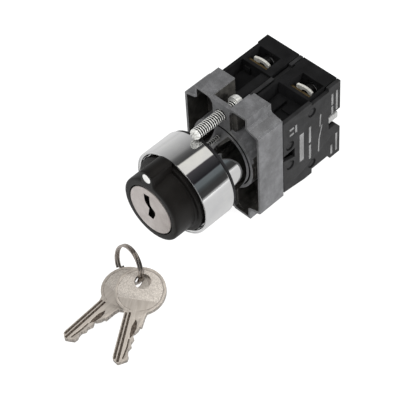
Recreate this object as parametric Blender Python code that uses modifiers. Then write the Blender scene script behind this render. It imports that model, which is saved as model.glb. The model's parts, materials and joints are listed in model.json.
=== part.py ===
"""Key-operated selector switch for a 22 mm panel hole, with two contact blocks and its keys.

The head goes through the panel from the front, the zinc collar grips its neck from behind, and the
contact blocks clip on the collar. The switch rests on the collar's lower horns and its keys lie in
front of it. Sizes are millimetres, turned into metres by MM where a shape is made. X runs to the
right and Y to the rear, from the head's axis and the collar's front face. -Y faces the operator.
"""
import math

import bmesh
import bpy

MM = 0.001
GAP = 0.3

# The switch's own frame in the world: the head's axis at the collar's front face.
HEAD_PLACE = (-3.64, 17.28, 21.6)

# Head, turned about the Y axis.
BEZEL_R = 14.4
GASKET_R = 13.9
BEZEL_MOUTH_R = 13.3
BEZEL_FRONT = -21.6
BEZEL_REAR = -10.2
NECK_R = 11.0
NECK_REAR = 6.5
BORE_R = 8.7
SHOULDER_R = 7.7
SHOULDER_FRONT = -8.0
SHOULDER_REAR = -6.8
FLANGE_FRONT = -16.3

# Rotor: knob, lock and cam.
KNOB_FRONT = -30.35
KNOB_R = 10.8
KNOB_FLANGE_R = 12.7
LOBE_TOP_R = 15.4
LOBE_HALF_W = 2.6
LOBE_REAR = -22.0
DOT_Z = 12.8
DOT_R = 1.55
LOCK_FACE_R = 8.2
LOCK_BARREL_R = 6.2
LOCK_TAIL_R = 4.0
KEYWAY_HALF_W = 1.0
KEYWAY_Z = (-2.8, 4.4)
WAFER_COUNT = 5
WAFER_FIRST = -25.4
WAFER_PITCH = 3.2
WAFER_THICK = 1.0
WAFER_HALF = (2.4, 5.2)
WAFER_WINDOW_HALF = (1.35, 4.4)
CAM_R = 8.4
CAM_FRONT = -6.2
CAM_FACE = 3.0
CAM_RISE_PER_MM = 0.377
DETENT_Y = -3.2

# Zinc collar behind the panel.
COLLAR_HALF_W = 15.0
COLLAR_DEPTH = 10.1
COLLAR_CORNER_Z = 16.5
COLLAR_WALL = 0.8
HORN_INNER = 3.9
HORN_OUTER = 10.6
HORN_TOP = 21.6
HORN_FOOT_Z = 17.7
HORN_DEPTH = 8.1
LEDGE_DROP = 1.1
WEB_TOP = 21.2
WEB_DEPTH = 3.0
LIP_DEPTH = 1.4
LIP_FOOT = 18.8
BOSS_HALF_W = 3.4
MOUTH_DEPTH = 1.1
CAVITY_INNER = 4.5
CAVITY_ROUND = 2.4
SCREW_POCKET_FOOT = 12.7
HOOK_WINDOW_Z = (12.6, 14.8)
HOOK_WINDOW_FRONT = 7.0
RIB_X = (4.3, 5.4)
RIB_Z = (12.9, 20.2)
HUB_R = 12.3
HUB_BORE_R = 11.3
FLOOR_FRONT = 8.4
SCREW_Z = 16.5
SCREW_R = 1.8
SCREW_TIP = -11.6
SCREW_HEAD_R = 2.6
SCREW_HEAD_Y = (5.5, 7.9)

# Contact blocks, side by side behind the collar.
BLOCK_CENTRES = (("left", -7.5), ("right", 7.5))
BLOCK_FRONT = 10.4
BLOCK_REAR = 35.6
BLOCK_TOP = 14.4
BLOCK_LOW = -16.2
BLOCK_HOUSING_X = (-7.25, 5.9)
BLOCK_COVER_X = (6.2, 7.45)
SIDE_INSET = 0.45
SIDE_INSET_REAR = 31.2
HOOK_HALF_W = 1.8
WELL_FLOOR = 9.6
WELL_REAR = 22.8
CHAMBER_HALF_Z = 8.4
POCKET_HALF_W = 4.2
POCKET_Y = (24.0, 30.4)
POCKET_FLOOR = 6.6
TERMINAL_Z = 10.6
TERMINAL_SHIFT = {"left": -1.2, "right": 1.2}
SHANK_TIP = 23.5
NOTCH_Y = 30.5
NOTCH_Z = (-2.9, 2.8)
BRIDGE_Y = 16.6
CONTACT_Z = 5.8
PLUNGER_TIP_R = 1.0

# Keys and ring. A key's own frame starts at its ring hole, with X along the blade.
KEY_THICK = 1.5
KEY_BOW_R = 7.6
KEY_BOW_X = 3.0
KEY_HOLE_R = 2.45
KEY_LENGTH = 26.8
KEY_POSES = {
    "front": {"hole": (8.19, -42.87, -15.19), "heading": -58.7, "droop": 12.2},
    "rear": {"hole": (4.80, -43.48, -17.73), "heading": -90.8, "droop": 6.6},
}
RING_CENTRE = (0.95, -41.34, -14.35)
RING_NORMAL = (-0.19, -0.956, 0.225)
RING_R = 6.0
RING_WIRE_R = 0.4
RING_TURNS = 2

FINE = 40
COARSE = 16


# ---------------------------------------------------------------------------------------------
# Modelling helpers
# ---------------------------------------------------------------------------------------------

def clear_scene():
    """Start from an empty scene."""
    for thing in list(bpy.data.objects):
        bpy.data.objects.remove(thing, do_unlink=True)


def new_collection(name):
    collection = bpy.data.collections.new(name)
    bpy.context.scene.collection.children.link(collection)
    return collection


def new_empty(name, place=(0.0, 0.0, 0.0), turn=(0.0, 0.0, 0.0), parent=None):
    """An empty that carries pieces, such as a joint's axis. place is in its parent's frame."""
    empty = bpy.data.objects.new(name, None)
    empty.empty_display_size = 5 * MM
    PARTS.objects.link(empty)
    empty.parent = parent
    empty.location = [c * MM for c in place]
    empty.rotation_euler = turn
    return empty


def new_material(name, colour, roughness, metallic):
    material = bpy.data.materials.new(name)
    material.use_nodes = True
    surface = material.node_tree.nodes["Principled BSDF"]
    surface.inputs["Base Color"].default_value = (*colour, 1.0)
    surface.inputs["Roughness"].default_value = roughness
    surface.inputs["Metallic"].default_value = metallic
    material.diffuse_color = (*colour, 1.0)
    return material


def add_object(name, mesh, material, parent, place=(0.0, 0.0, 0.0), turn=(0.0, 0.0, 0.0)):
    """Put a mesh in the scene: in the parts with a material, among the cutters without one."""
    thing = bpy.data.objects.new(name, mesh)
    thing.parent = parent
    thing.location = [c * MM for c in place]
    thing.rotation_euler = turn
    if material is None:
        CUTTERS.objects.link(thing)
        thing.hide_render = True
        thing.display_type = "WIRE"
    else:
        PARTS.objects.link(thing)
        mesh.materials.clear()
        mesh.materials.append(material)
    return thing


def smooth(thing, degrees=35.0):
    for polygon in thing.data.polygons:
        polygon.use_smooth = True
    thing.data.set_sharp_from_angle(angle=math.radians(degrees))


def signed_area(points):
    total = 0.0
    for (x0, y0), (x1, y1) in zip(points, points[1:] + points[:1]):
        total += x0 * y1 - x1 * y0
    return total / 2.0


def turned(name, profile, material=None, centre=(0.0, 0.0), parent=None, steps=FINE):
    """A solid turned about a line along Y. profile holds (radius, y) points; centre is (x, z)."""
    closed = min(radius for radius, _ in profile) > 0.0
    if signed_area(profile) > 0.0:
        profile = profile[::-1]
    if not closed:
        start = next(i for i, p in enumerate(profile) if p[0] == 0.0 and profile[i - 1][0] == 0.0)
        profile = profile[start:] + profile[:start]
    vertices = [(radius * MM, 0.0, y * MM) for radius, y in profile]
    edges = [(i, i + 1) for i in range(len(profile) - 1)]
    if closed:
        edges.append((len(profile) - 1, 0))
    mesh = bpy.data.meshes.new(name)
    mesh.from_pydata(vertices, edges, [])
    thing = add_object(name, mesh, material, parent or SWITCH, (centre[0], 0.0, centre[1]),
                       (math.radians(-90.0), 0.0, 0.0))
    screw = thing.modifiers.new("turn", "SCREW")
    screw.axis = "Z"
    screw.steps = steps
    screw.render_steps = steps
    screw.use_merge_vertices = True
    screw.merge_threshold = 0.00001
    screw.use_smooth_shade = True
    return thing


def settle(thing):
    """Replace an object's modifiers by the mesh they make, so that it can be cut or joined."""
    bpy.context.view_layer.update()
    evaluated = thing.evaluated_get(bpy.context.evaluated_depsgraph_get())
    mesh = bpy.data.meshes.new_from_object(evaluated)
    work = bmesh.new()
    work.from_mesh(mesh)
    bmesh.ops.remove_doubles(work, verts=work.verts, dist=0.000001)
    bmesh.ops.recalc_face_normals(work, faces=work.faces)
    work.to_mesh(mesh)
    work.free()
    if thing.type == "CURVE":
        name = thing.name
        solid = bpy.data.objects.new(name, mesh)
        for collection in thing.users_collection:
            collection.objects.link(solid)
        solid.parent = thing.parent
        solid.location = thing.location
        solid.rotation_euler = thing.rotation_euler
        solid.hide_render = thing.hide_render
        solid.display_type = thing.display_type
        bpy.data.objects.remove(thing, do_unlink=True)
        solid.name = name
        return solid
    thing.modifiers.clear()
    thing.data = mesh
    return thing


PLANES = {
    "front": (math.radians(90.0), 0.0, 0.0),
    "side": (math.radians(90.0), 0.0, math.radians(90.0)),
    "flat": (0.0, 0.0, 0.0),
}
THICKNESS_AXIS = {
    "front": (0.0, 1.0, 0.0),
    "side": (1.0, 0.0, 0.0),
    "flat": (0.0, 0.0, 1.0),
}


def prism(name, plane, outline, low, high, material=None, parent=None):
    """A flat outline with thickness. front: (x, z) along Y; side: (y, z) along X; flat: (x, y)."""
    curve = bpy.data.curves.new(name, "CURVE")
    curve.dimensions = "2D"
    curve.fill_mode = "BOTH"
    curve.extrude = (high - low) / 2.0 * MM
    spline = curve.splines.new("POLY")
    spline.points.add(len(outline) - 1)
    for point, (u, v) in zip(spline.points, outline):
        point.co = (u * MM, v * MM, 0.0, 1.0)
    spline.use_cyclic_u = True
    middle = (low + high) / 2.0
    place = [middle * share for share in THICKNESS_AXIS[plane]]
    if material is not None:
        curve.materials.append(material)
    return settle(add_curve(name, curve, material, parent or SWITCH, place, PLANES[plane]))


def add_curve(name, curve, material, parent, place=(0.0, 0.0, 0.0), turn=(0.0, 0.0, 0.0)):
    thing = bpy.data.objects.new(name, curve)
    thing.parent = parent
    thing.location = [c * MM for c in place]
    thing.rotation_euler = turn
    if material is None:
        CUTTERS.objects.link(thing)
        thing.hide_render = True
        thing.display_type = "WIRE"
    else:
        PARTS.objects.link(thing)
    return thing


def box(name, x_span, y_span, z_span, material=None, parent=None):
    """A box between two corners, its origin at its centre."""
    mesh = bpy.data.meshes.new(name)
    work = bmesh.new()
    bmesh.ops.create_cube(work, size=1.0)
    size = [(span[1] - span[0]) * MM for span in (x_span, y_span, z_span)]
    bmesh.ops.scale(work, vec=size, verts=work.verts)
    work.to_mesh(mesh)
    work.free()
    centre = [(span[0] + span[1]) / 2.0 for span in (x_span, y_span, z_span)]
    return add_object(name, mesh, material, parent or SWITCH, centre)


def rod(name, radius, y_span, centre, material=None, parent=None, sides=COARSE):
    """A round bar or hole along Y. centre is (x, z)."""
    profile = [(0.0, y_span[1]), (radius, y_span[1]), (radius, y_span[0]), (0.0, y_span[0])]
    return settle(turned(name, profile, material, centre, parent, sides))


def combine(target, tools, operation):
    for tool in tools:
        step = target.modifiers.new(tool.name, "BOOLEAN")
        step.operation = operation
        step.solver = "EXACT"
        step.object = tool


def cut(target, *tools):
    combine(target, tools, "DIFFERENCE")


def join(target, *tools):
    combine(target, tools, "UNION")


def arc(centre, radius, start, end, count):
    """Points on an arc, angles in degrees, both ends included."""
    points = []
    for i in range(count):
        angle = math.radians(start + (end - start) * i / (count - 1))
        points.append((centre[0] + radius * math.cos(angle), centre[1] + radius * math.sin(angle)))
    return points


def coil(name, radius, wire_r, span, turns, material, parent, place, turn, per_turn=10):
    """A helical wire about its own Z axis."""
    curve = bpy.data.curves.new(name, "CURVE")
    curve.dimensions = "3D"
    curve.bevel_depth = wire_r * MM
    curve.bevel_resolution = 2
    curve.use_fill_caps = True
    curve.materials.append(material)
    spline = curve.splines.new("POLY")
    count = int(turns * per_turn) + 1
    spline.points.add(count - 1)
    for i, point in enumerate(spline.points):
        share = i / (count - 1)
        angle = 2.0 * math.pi * turns * share
        along = span[0] + (span[1] - span[0]) * share
        point.co = (radius * math.cos(angle) * MM, radius * math.sin(angle) * MM, along * MM, 1.0)
    return add_curve(name, curve, material, parent, place, turn)


# ---------------------------------------------------------------------------------------------
# Head
# ---------------------------------------------------------------------------------------------

def make_bezel_ring():
    inner_back = FLANGE_FRONT + 3.0
    profile = [
        (BEZEL_R, BEZEL_REAR), (BEZEL_R, BEZEL_FRONT + 0.4), (BEZEL_R - 0.4, BEZEL_FRONT),
        (BEZEL_MOUTH_R + 0.2, BEZEL_FRONT), (BEZEL_MOUTH_R, BEZEL_FRONT + 0.3),
        (BEZEL_MOUTH_R, inner_back), (NECK_R + GAP, inner_back), (NECK_R + GAP, BEZEL_REAR),
    ]
    turned("bezel_ring", profile, CHROME)


def make_head_body():
    flange_rear = FLANGE_FRONT + 3.0 - GAP
    profile = [
        (NECK_R - 0.5, NECK_REAR), (NECK_R, NECK_REAR - 0.5), (NECK_R, flange_rear),
        (BEZEL_MOUTH_R - GAP, flange_rear), (BEZEL_MOUTH_R - GAP, FLANGE_FRONT),
        (BORE_R, FLANGE_FRONT), (BORE_R, SHOULDER_FRONT), (SHOULDER_R, SHOULDER_FRONT),
        (SHOULDER_R, SHOULDER_REAR), (BORE_R, SHOULDER_REAR), (BORE_R, NECK_REAR),
    ]
    turned("head_body", profile, CHROME)


def make_mounting_gasket():
    front = BEZEL_REAR + GAP
    profile = [
        (GASKET_R, front + 1.0), (GASKET_R, front), (NECK_R + GAP, front),
        (NECK_R + GAP, front + 1.0),
    ]
    turned("mounting_gasket", profile, RUBBER)


def make_shaft_seal():
    middle = (10.5, FLANGE_FRONT - GAP - 0.85)
    turned("shaft_seal", arc(middle, 0.85, 0.0, 315.0, 8), RUBBER, steps=32)


def make_selector_knob():
    """Black rotor: a flanged cup with a pointer lobe, and a sleeve that runs in the head's bore."""
    flange_rear = FLANGE_FRONT - 2.6
    flange_front = flange_rear - 3.7
    sleeve_rear = SHOULDER_FRONT - GAP
    profile = [
        (SHOULDER_R - GAP, -6.5), (SHOULDER_R - GAP, sleeve_rear), (BORE_R - GAP, sleeve_rear),
        (BORE_R - GAP, flange_rear), (KNOB_FLANGE_R, flange_rear), (KNOB_FLANGE_R, flange_front + 0.4),
        (KNOB_FLANGE_R - 0.4, flange_front), (KNOB_R + 0.2, flange_front), (KNOB_R, flange_front - 0.4),
        (KNOB_R - 0.1, KNOB_FRONT + 1.3), (KNOB_R - 0.5, KNOB_FRONT + 0.4),
        (KNOB_R - 1.2, KNOB_FRONT), (LOCK_FACE_R + GAP, KNOB_FRONT),
        (LOCK_FACE_R + GAP, KNOB_FRONT + 1.8), (LOCK_BARREL_R + GAP, KNOB_FRONT + 1.8),
        (LOCK_BARREL_R + GAP, sleeve_rear), (LOCK_TAIL_R + GAP, sleeve_rear), (LOCK_TAIL_R + GAP, -6.5),
    ]
    knob = settle(turned("selector_knob", profile, BLACK_PLASTIC, parent=ROTOR))
    foot = LOCK_FACE_R + 2 * GAP
    crown_r = 4.0
    spread = math.degrees(math.acos(LOBE_HALF_W / crown_r))
    tip = arc((0.0, LOBE_TOP_R - crown_r), crown_r, spread, 180.0 - spread, 7)
    outline = [(-LOBE_HALF_W, foot), (LOBE_HALF_W, foot)] + tip
    join(knob, prism("knob_lobe", "front", outline, KNOB_FRONT + 0.1, LOBE_REAR, parent=ROTOR))
    cut(knob, make_dot_shape("dot_recess", DOT_R + GAP, KNOB_FRONT - 1.0, KNOB_FRONT + 1.6, None))
    smooth(knob)


def make_dot_shape(name, radius, front, rear, material):
    """An upright disc at the lobe's front."""
    return prism(name, "front", arc((0.0, DOT_Z), radius, 0.0, 337.5, 16), front, rear, material, ROTOR)


def make_pointer_dot():
    smooth(make_dot_shape("pointer_dot", DOT_R, KNOB_FRONT + 0.2, KNOB_FRONT + 1.3, WHITE_PLASTIC))


def make_lock_plug():
    """The lock's turning plug: face disc, slotted barrel and drive tail."""
    barrel_rear = SHOULDER_FRONT - 2 * GAP
    profile = [
        (0.0, KNOB_FRONT), (LOCK_FACE_R - 0.2, KNOB_FRONT), (LOCK_FACE_R, KNOB_FRONT + 0.2),
        (LOCK_FACE_R, KNOB_FRONT + 1.5), (LOCK_BARREL_R, KNOB_FRONT + 1.5),
        (LOCK_BARREL_R, barrel_rear), (LOCK_TAIL_R, barrel_rear), (LOCK_TAIL_R, -5.2),
        (2.8, -5.2), (2.8, -2.2), (0.0, -2.2),
    ]
    plug = settle(turned("lock_plug", profile, BRUSHED, parent=ROTOR))
    keyway = box("keyway", (-KEYWAY_HALF_W, KEYWAY_HALF_W), (KNOB_FRONT - 1.0, barrel_rear - 1.6),
                 KEYWAY_Z, parent=ROTOR)
    cut(plug, keyway)
    for i in range(WAFER_COUNT):
        y = WAFER_FIRST + i * WAFER_PITCH
        half_slot = WAFER_THICK / 2.0 + GAP
        slot = box(f"wafer_slot_{i + 1}", (-WAFER_HALF[0] - GAP, WAFER_HALF[0] + GAP),
                   (y - half_slot, y + half_slot), (-7.0, 7.0), parent=ROTOR)
        cut(plug, slot)
    smooth(plug)


def make_lock_wafers():
    """Five sprung plates in the plug, each with a window that the key passes through."""
    for i in range(WAFER_COUNT):
        y = WAFER_FIRST + i * WAFER_PITCH
        half = WAFER_THICK / 2.0
        wafer = box(f"lock_wafer_{i + 1}", (-WAFER_HALF[0], WAFER_HALF[0]), (y - half, y + half),
                    (-WAFER_HALF[1], WAFER_HALF[1]), BRASS, ROTOR)
        window_x, window_z = WAFER_WINDOW_HALF
        cut(wafer, box(f"wafer_window_{i + 1}", (-window_x, window_x), (y - 1.0, y + 1.0),
                       (-window_z, window_z), parent=ROTOR))


def make_lock_circlip():
    outline = arc((0.0, 0.0), 5.3, -60.0, 240.0, 13) + arc((0.0, 0.0), 4.3, 240.0, -60.0, 13)
    smooth(prism("lock_circlip", "front", outline, CAM_FRONT, CAM_FRONT + 0.7, STEEL, ROTOR))


def make_cam_drum():
    """The rotor's tail: a drum whose slanted rear face pushes one plunger as it frees the other."""
    profile = [
        (0.0, 8.0), (CAM_R, 8.0), (CAM_R, CAM_FRONT), (5.7, CAM_FRONT), (5.7, CAM_FRONT + 1.3),
        (3.1, CAM_FRONT + 1.3), (3.1, -1.9), (0.0, -1.9),
    ]
    cam = settle(turned("cam_drum", profile, IVORY_PLASTIC, parent=ROTOR))
    reach = 12.0
    slant = [
        (CAM_FACE - CAM_RISE_PER_MM * reach, -reach), (CAM_FACE + CAM_RISE_PER_MM * reach, reach),
        (20.0, reach), (20.0, -reach),
    ]
    cut(cam, prism("cam_slant", "side", slant, -reach, reach, parent=ROTOR))
    cut(cam, downward_rod("detent_bore", 1.3, 3.5, 9.0))
    smooth(cam)


def downward_rod(name, radius, start, end, material=None):
    """A round bar below the rotor's axis, from one distance to another."""
    mesh = bpy.data.meshes.new(name)
    work = bmesh.new()
    bmesh.ops.create_cone(work, cap_ends=True, segments=COARSE, radius1=radius * MM,
                          radius2=radius * MM, depth=(end - start) * MM)
    work.to_mesh(mesh)
    work.free()
    return add_object(name, mesh, material, ROTOR, (0.0, DETENT_Y, -(start + end) / 2.0))


def make_detent():
    """A spring-loaded pin in the cam drum that clicks round the head's bore."""
    smooth(downward_rod("detent_pin", 1.05, 6.7, 8.4, STEEL))
    coil("detent_spring", 0.75, 0.14, (-6.4, -3.75), 3, SPRING_STEEL, ROTOR, (0.0, DETENT_Y, 0.0),
         (0.0, 0.0, 0.0), per_turn=8)


# ---------------------------------------------------------------------------------------------
# Collar and its fixing screws
# ---------------------------------------------------------------------------------------------

def mirrored_outline(quarter):
    """Complete an outline from its upper right quarter, listed from the top centre to the side."""
    right = quarter + [(x, -z) for x, z in reversed(quarter)]
    return right + [(-x, z) for x, z in reversed(right)]


def make_mounting_collar():
    """Die-cast collar: an outer wall with four horns, a hub for the neck, and a rear floor."""
    outer = [
        (HORN_INNER, WEB_TOP), (HORN_INNER, HORN_TOP), (HORN_OUTER, HORN_TOP),
        (HORN_OUTER, HORN_FOOT_Z + 0.4), (HORN_OUTER + 0.6, HORN_FOOT_Z - 0.4),
        (COLLAR_HALF_W - 0.6, COLLAR_CORNER_Z + 0.1), (COLLAR_HALF_W, COLLAR_CORNER_Z - 0.5),
    ]
    collar = prism("mounting_collar", "front", mirrored_outline(outer), 0.0, COLLAR_DEPTH, ZINC)
    cut(collar, rod("hub_bore", HUB_BORE_R, (-1.0, FLOOR_FRONT - 0.2), (0.0, 0.0), sides=FINE))
    cut(collar, rod("floor_hole", 9.5, (0.0, 12.0), (0.0, 0.0), sides=32))
    for side in (-1, 1):
        cut(collar, make_collar_cavity(side, BOSS_HALF_W, MOUTH_DEPTH))
        cut(collar, make_collar_cavity(side, CAVITY_INNER, FLOOR_FRONT))
    for end, sign in (("top", 1), ("bottom", -1)):
        add_collar_end(collar, end, sign)
    smooth(collar, 30.0)


def add_collar_end(collar, end, sign):
    """One end of the collar, top or bottom; the two are alike when turned half round the axis."""
    past = HORN_TOP + 1.0
    deep = COLLAR_DEPTH + 2.0
    slack = 0.05
    pocket_half = HORN_INNER - slack
    cut(collar, box(f"{end}_screw_pocket", (-pocket_half, pocket_half), (WEB_DEPTH, deep),
                    ordered(sign * SCREW_POCKET_FOOT, sign * past)))
    cut(collar, box(f"{end}_lip_cut", (-pocket_half, pocket_half), (LIP_DEPTH, deep),
                    ordered(sign * LIP_FOOT, sign * past)))
    cut(collar, rod(f"{end}_screw_hole", SCREW_R + GAP, (-1.0, 5.0), (0.0, sign * SCREW_Z)))
    cut(collar, box(f"{end}_horn_ledge", ordered(0.0, sign * HORN_OUTER * 1.2), (HORN_DEPTH, deep),
                    ordered(sign * (HORN_TOP - LEDGE_DROP), sign * past)))
    join(collar, box(f"{end}_rib", ordered(sign * RIB_X[0], sign * RIB_X[1]),
                     (MOUTH_DEPTH, FLOOR_FRONT + slack), ordered(sign * RIB_Z[0], sign * RIB_Z[1])))
    for name, centre in BLOCK_CENTRES:
        half = HOOK_HALF_W + 0.4
        cut(collar, box(f"{end}_{name}_hook_window", spans(centre, -half, half),
                        (HOOK_WINDOW_FRONT, deep), ordered(*(sign * z for z in HOOK_WINDOW_Z))))


def ordered(first, second):
    return (min(first, second), max(first, second))


def make_collar_cavity(side, inner_x, depth):
    """The hollow between the collar's outer wall and its hub on one side, open to the front."""
    ceiling = HORN_TOP - COLLAR_WALL
    corner = (inner_x + CAVITY_ROUND, ceiling - CAVITY_ROUND)
    top = arc(corner, CAVITY_ROUND, 180.0, 90.0, 6) + [
        (HORN_OUTER - COLLAR_WALL, ceiling), (HORN_OUTER - COLLAR_WALL, HORN_FOOT_Z - 0.3),
        (HORN_OUTER + 0.2, HORN_FOOT_Z - 1.1), (COLLAR_HALF_W - COLLAR_WALL, COLLAR_CORNER_Z - 0.9),
    ]
    bottom = [(x, -z) for x, z in reversed(top)]
    half = math.degrees(math.acos(inner_x / HUB_R))
    hub = arc((0.0, 0.0), HUB_R, -half, half, 13)
    outline = [(side * x, z) for x, z in top + bottom + hub]
    label = "right" if side > 0 else "left"
    return prism(f"{label}_cavity_{depth}", "front", outline, -1.0, depth)


def make_fixing_screws():
    """Two screws through the collar's webs whose points press on the panel."""
    seat, top = SCREW_HEAD_Y
    profile = [
        (0.0, SCREW_TIP), (1.1, SCREW_TIP), (SCREW_R, SCREW_TIP + 0.7), (SCREW_R, seat),
        (SCREW_HEAD_R, seat), (SCREW_HEAD_R, top - 0.6), (SCREW_HEAD_R - 0.6, top), (0.0, top),
    ]
    for end, sign in (("top", 1), ("bottom", -1)):
        centre = (0.0, sign * SCREW_Z)
        screw = settle(turned(f"fixing_screw_{end}", profile, ZINC_PLATE, centre, steps=24))
        cut(screw, cross_slot(f"{end}_screw_slot", centre, 1.6, (top - 0.9, top + 1.0)))
        smooth(screw)


def cross_slot(name, centre, reach, y_span):
    """A cross recess for a screwdriver, as one solid."""
    thin = 0.37
    waist = 0.45
    x, z = centre
    outline = []
    for quarter in range(4):
        c = round(math.cos(math.pi / 2.0 * quarter))
        s = round(math.sin(math.pi / 2.0 * quarter))
        for u, v in ((waist, waist), (reach, thin), (reach, -thin)):
            outline.append((x + c * u + s * v, z + s * u - c * v))
    outline.sort(key=lambda p: math.atan2(p[1] - z, p[0] - x))
    return prism(name, "front", outline, y_span[0], y_span[1])


# ---------------------------------------------------------------------------------------------
# Contact blocks
# ---------------------------------------------------------------------------------------------

def block_outline(slope):
    """A block seen from the side, with the rear notch for its plunger's bar and its lower feet."""
    return [
        (BLOCK_FRONT, BLOCK_TOP), (BLOCK_FRONT, slope), (19.5, BLOCK_LOW), (22.9, BLOCK_LOW),
        (22.9, -BLOCK_TOP), (30.4, -BLOCK_TOP), (31.2, BLOCK_LOW), (BLOCK_REAR, BLOCK_LOW),
        (BLOCK_REAR, -5.2), (33.8, NOTCH_Z[0]), (NOTCH_Y, NOTCH_Z[0]), (NOTCH_Y, NOTCH_Z[1]),
        (BLOCK_REAR, NOTCH_Z[1]), (BLOCK_REAR, BLOCK_TOP),
    ]


def spans(centre, low, high):
    return (centre + low, centre + high)


def make_block_housing(side, centre):
    """The block's body: two open wells in front, two terminal pockets, and the contact chamber."""
    low, high = spans(centre, *BLOCK_HOUSING_X)
    housing = prism(f"{side}_housing", "side", block_outline(-15.0), low, high, BLOCK_PLASTIC)
    past = centre + 9.0
    cut(housing, box(f"{side}_side_inset", (low - 1.0, low + SIDE_INSET),
                     (BLOCK_FRONT - 1.0, SIDE_INSET_REAR), (-20.0, 20.0)))
    cut(housing, box(f"{side}_chamber", (centre - 4.2, past), (12.0, 23.0),
                     (-CHAMBER_HALF_Z, CHAMBER_HALF_Z)))
    cut(housing, box(f"{side}_rod_channel", spans(centre, -1.9, 1.9), (22.5, 31.0), (-1.9, 1.9)))
    cut(housing, box(f"{side}_bar_channel", (centre - 5.9, past), (28.4, 31.0), (-1.8, 1.1)))
    cut(housing, rod(f"{side}_pin_hole", PLUNGER_TIP_R + 0.35, (9.0, 13.0), (centre, 0.0)))
    for level, sign in (("upper", 1), ("lower", -1)):
        name = f"{side}_{level}"
        well_z = ordered(sign * WELL_FLOOR, sign * 18.0)
        well_x = (low + SIDE_INSET + 1.1, past)
        cut(housing, box(f"{name}_well", well_x, (BLOCK_FRONT + 1.2, WELL_REAR), well_z))
        pocket_z = ordered(sign * POCKET_FLOOR, sign * 18.0)
        middle = centre + TERMINAL_SHIFT[side]
        cut(housing, box(f"{name}_pocket", spans(middle, -POCKET_HALF_W, POCKET_HALF_W), POCKET_Y, pocket_z))
        strip_z = ordered(sign * 5.8, sign * 7.3)
        cut(housing, box(f"{name}_strip_slot", spans(centre, -1.8, 1.8), (22.5, 25.7), strip_z))
        axis = (middle, sign * TERMINAL_Z)
        cut(housing, rod(f"{name}_driver_bore", 2.9, (30.0, 37.0), axis))
        cut(housing, rod(f"{name}_shank_hole", 1.85, (SHANK_TIP - GAP, 24.5), axis))
        hook_z = ordered(sign * 12.9, sign * 14.3)
        hook = box(f"{name}_hook", spans(centre, -HOOK_HALF_W, HOOK_HALF_W),
                   (COLLAR_DEPTH - 2.2, BLOCK_FRONT + 1.0), hook_z)
        join(housing, hook)


def make_block_cover(side, centre):
    """The side plate that closes the block, with its rivet recesses and release slot."""
    low, high = spans(centre, *BLOCK_COVER_X)
    cover = prism(f"{side}_cover", "side", block_outline(-15.0), low, high, BLOCK_PLASTIC)
    cut(cover, box(f"{side}_cover_notch", (low - 1.0, high + 1.0), (22.8, 30.4), (13.2, 16.0)))
    slot = [(9.0, 0.5), (15.3, 0.9), (15.3, -2.8), (9.0, -1.0)]
    cut(cover, prism(f"{side}_release_slot", "side", slot, low - 1.0, high + 1.0))
    for i, (y, z) in enumerate(((23.0, 10.1), (23.0, -11.9), (13.4, 3.3), (13.4, -5.1))):
        ring = arc((y, z), 1.7, 0.0, 330.0, 12)
        cut(cover, prism(f"{side}_rivet_{i + 1}", "side", ring, high - 0.7, high + 1.0))


def make_plunger(side, centre):
    """White plunger: a domed pin, the bridge's carrier, a rod, and the cross bar at the rear."""
    tip = CAM_FACE + PLUNGER_TIP_R / math.cos(math.atan(CAM_RISE_PER_MM)) + GAP
    dome = [(PLUNGER_TIP_R * math.sin(a), tip - PLUNGER_TIP_R * math.cos(a))
            for a in (0.0, math.pi / 6, math.pi / 3, math.pi / 2)]
    profile = dome + [(PLUNGER_TIP_R, 15.0), (0.0, 15.0)]
    parent = new_empty(f"{side}_plunger_axis", (centre, 0.0, 0.0), parent=SWITCH)
    plunger = box(f"{side}_plunger", (-2.9, 2.9), (14.4, 18.4), (-2.1, 2.1), WHITE_PLASTIC, parent)
    pin = settle(turned(f"{side}_plunger_pin", profile, parent=parent, steps=COARSE))
    shaft = rod(f"{side}_plunger_rod", 1.5, (18.0, 31.5), (0.0, 0.0), parent=parent)
    bar = box(f"{side}_plunger_bar", (-5.6, 5.8), (30.8, 35.3), (-1.5, 0.8), parent=parent)
    join(plunger, pin, shaft, bar)
    cut(plunger, box(f"{side}_bridge_window", (-1.8, 1.8), (BRIDGE_Y - GAP, BRIDGE_Y + 0.6 + GAP),
                     (-3.0, 3.0), parent=parent))
    smooth(plunger)


def make_bridge(side, centre):
    """The moving contact: a brass bar with a rivet at each end."""
    bridge = box(f"{side}_contact_bridge", spans(centre, -1.5, 1.5), (BRIDGE_Y, BRIDGE_Y + 0.6),
                 (-7.3, 7.3), BRASS)
    for sign in (-1, 1):
        join(bridge, rod(f"{side}_bridge_rivet_{sign}", 0.9, (BRIDGE_Y + 0.3, BRIDGE_Y + 0.9),
                         (centre, sign * CONTACT_Z), sides=12))


def make_terminal(side, level, sign, centre):
    """Fixed contact: a clamp plate in the pocket, and a strip to the contact in the chamber."""
    name = f"{side}_{level}_terminal"
    middle = centre + TERMINAL_SHIFT[side]
    plate = box(name, spans(middle, -3.9, 3.9), (24.6, 25.4), ordered(sign * 6.9, sign * 13.4), BRASS)
    strip = [
        (20.1, 4.4), (20.9, 4.4), (20.9, 6.1), (25.35, 6.1), (25.35, 8.0), (24.65, 8.0),
        (24.65, 6.9), (20.1, 6.9),
    ]
    outline = [(y, sign * z) for y, z in strip]
    contact = rod(f"{name}_rivet", 0.9, (19.8, 20.5), (centre, sign * CONTACT_Z), sides=12)
    join(plate, prism(f"{name}_strip", "side", outline, centre - 1.5, centre + 1.5), contact)
    cut(plate, rod(f"{name}_thread", 1.8, (24.0, 26.0), (middle, sign * TERMINAL_Z)))


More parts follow.
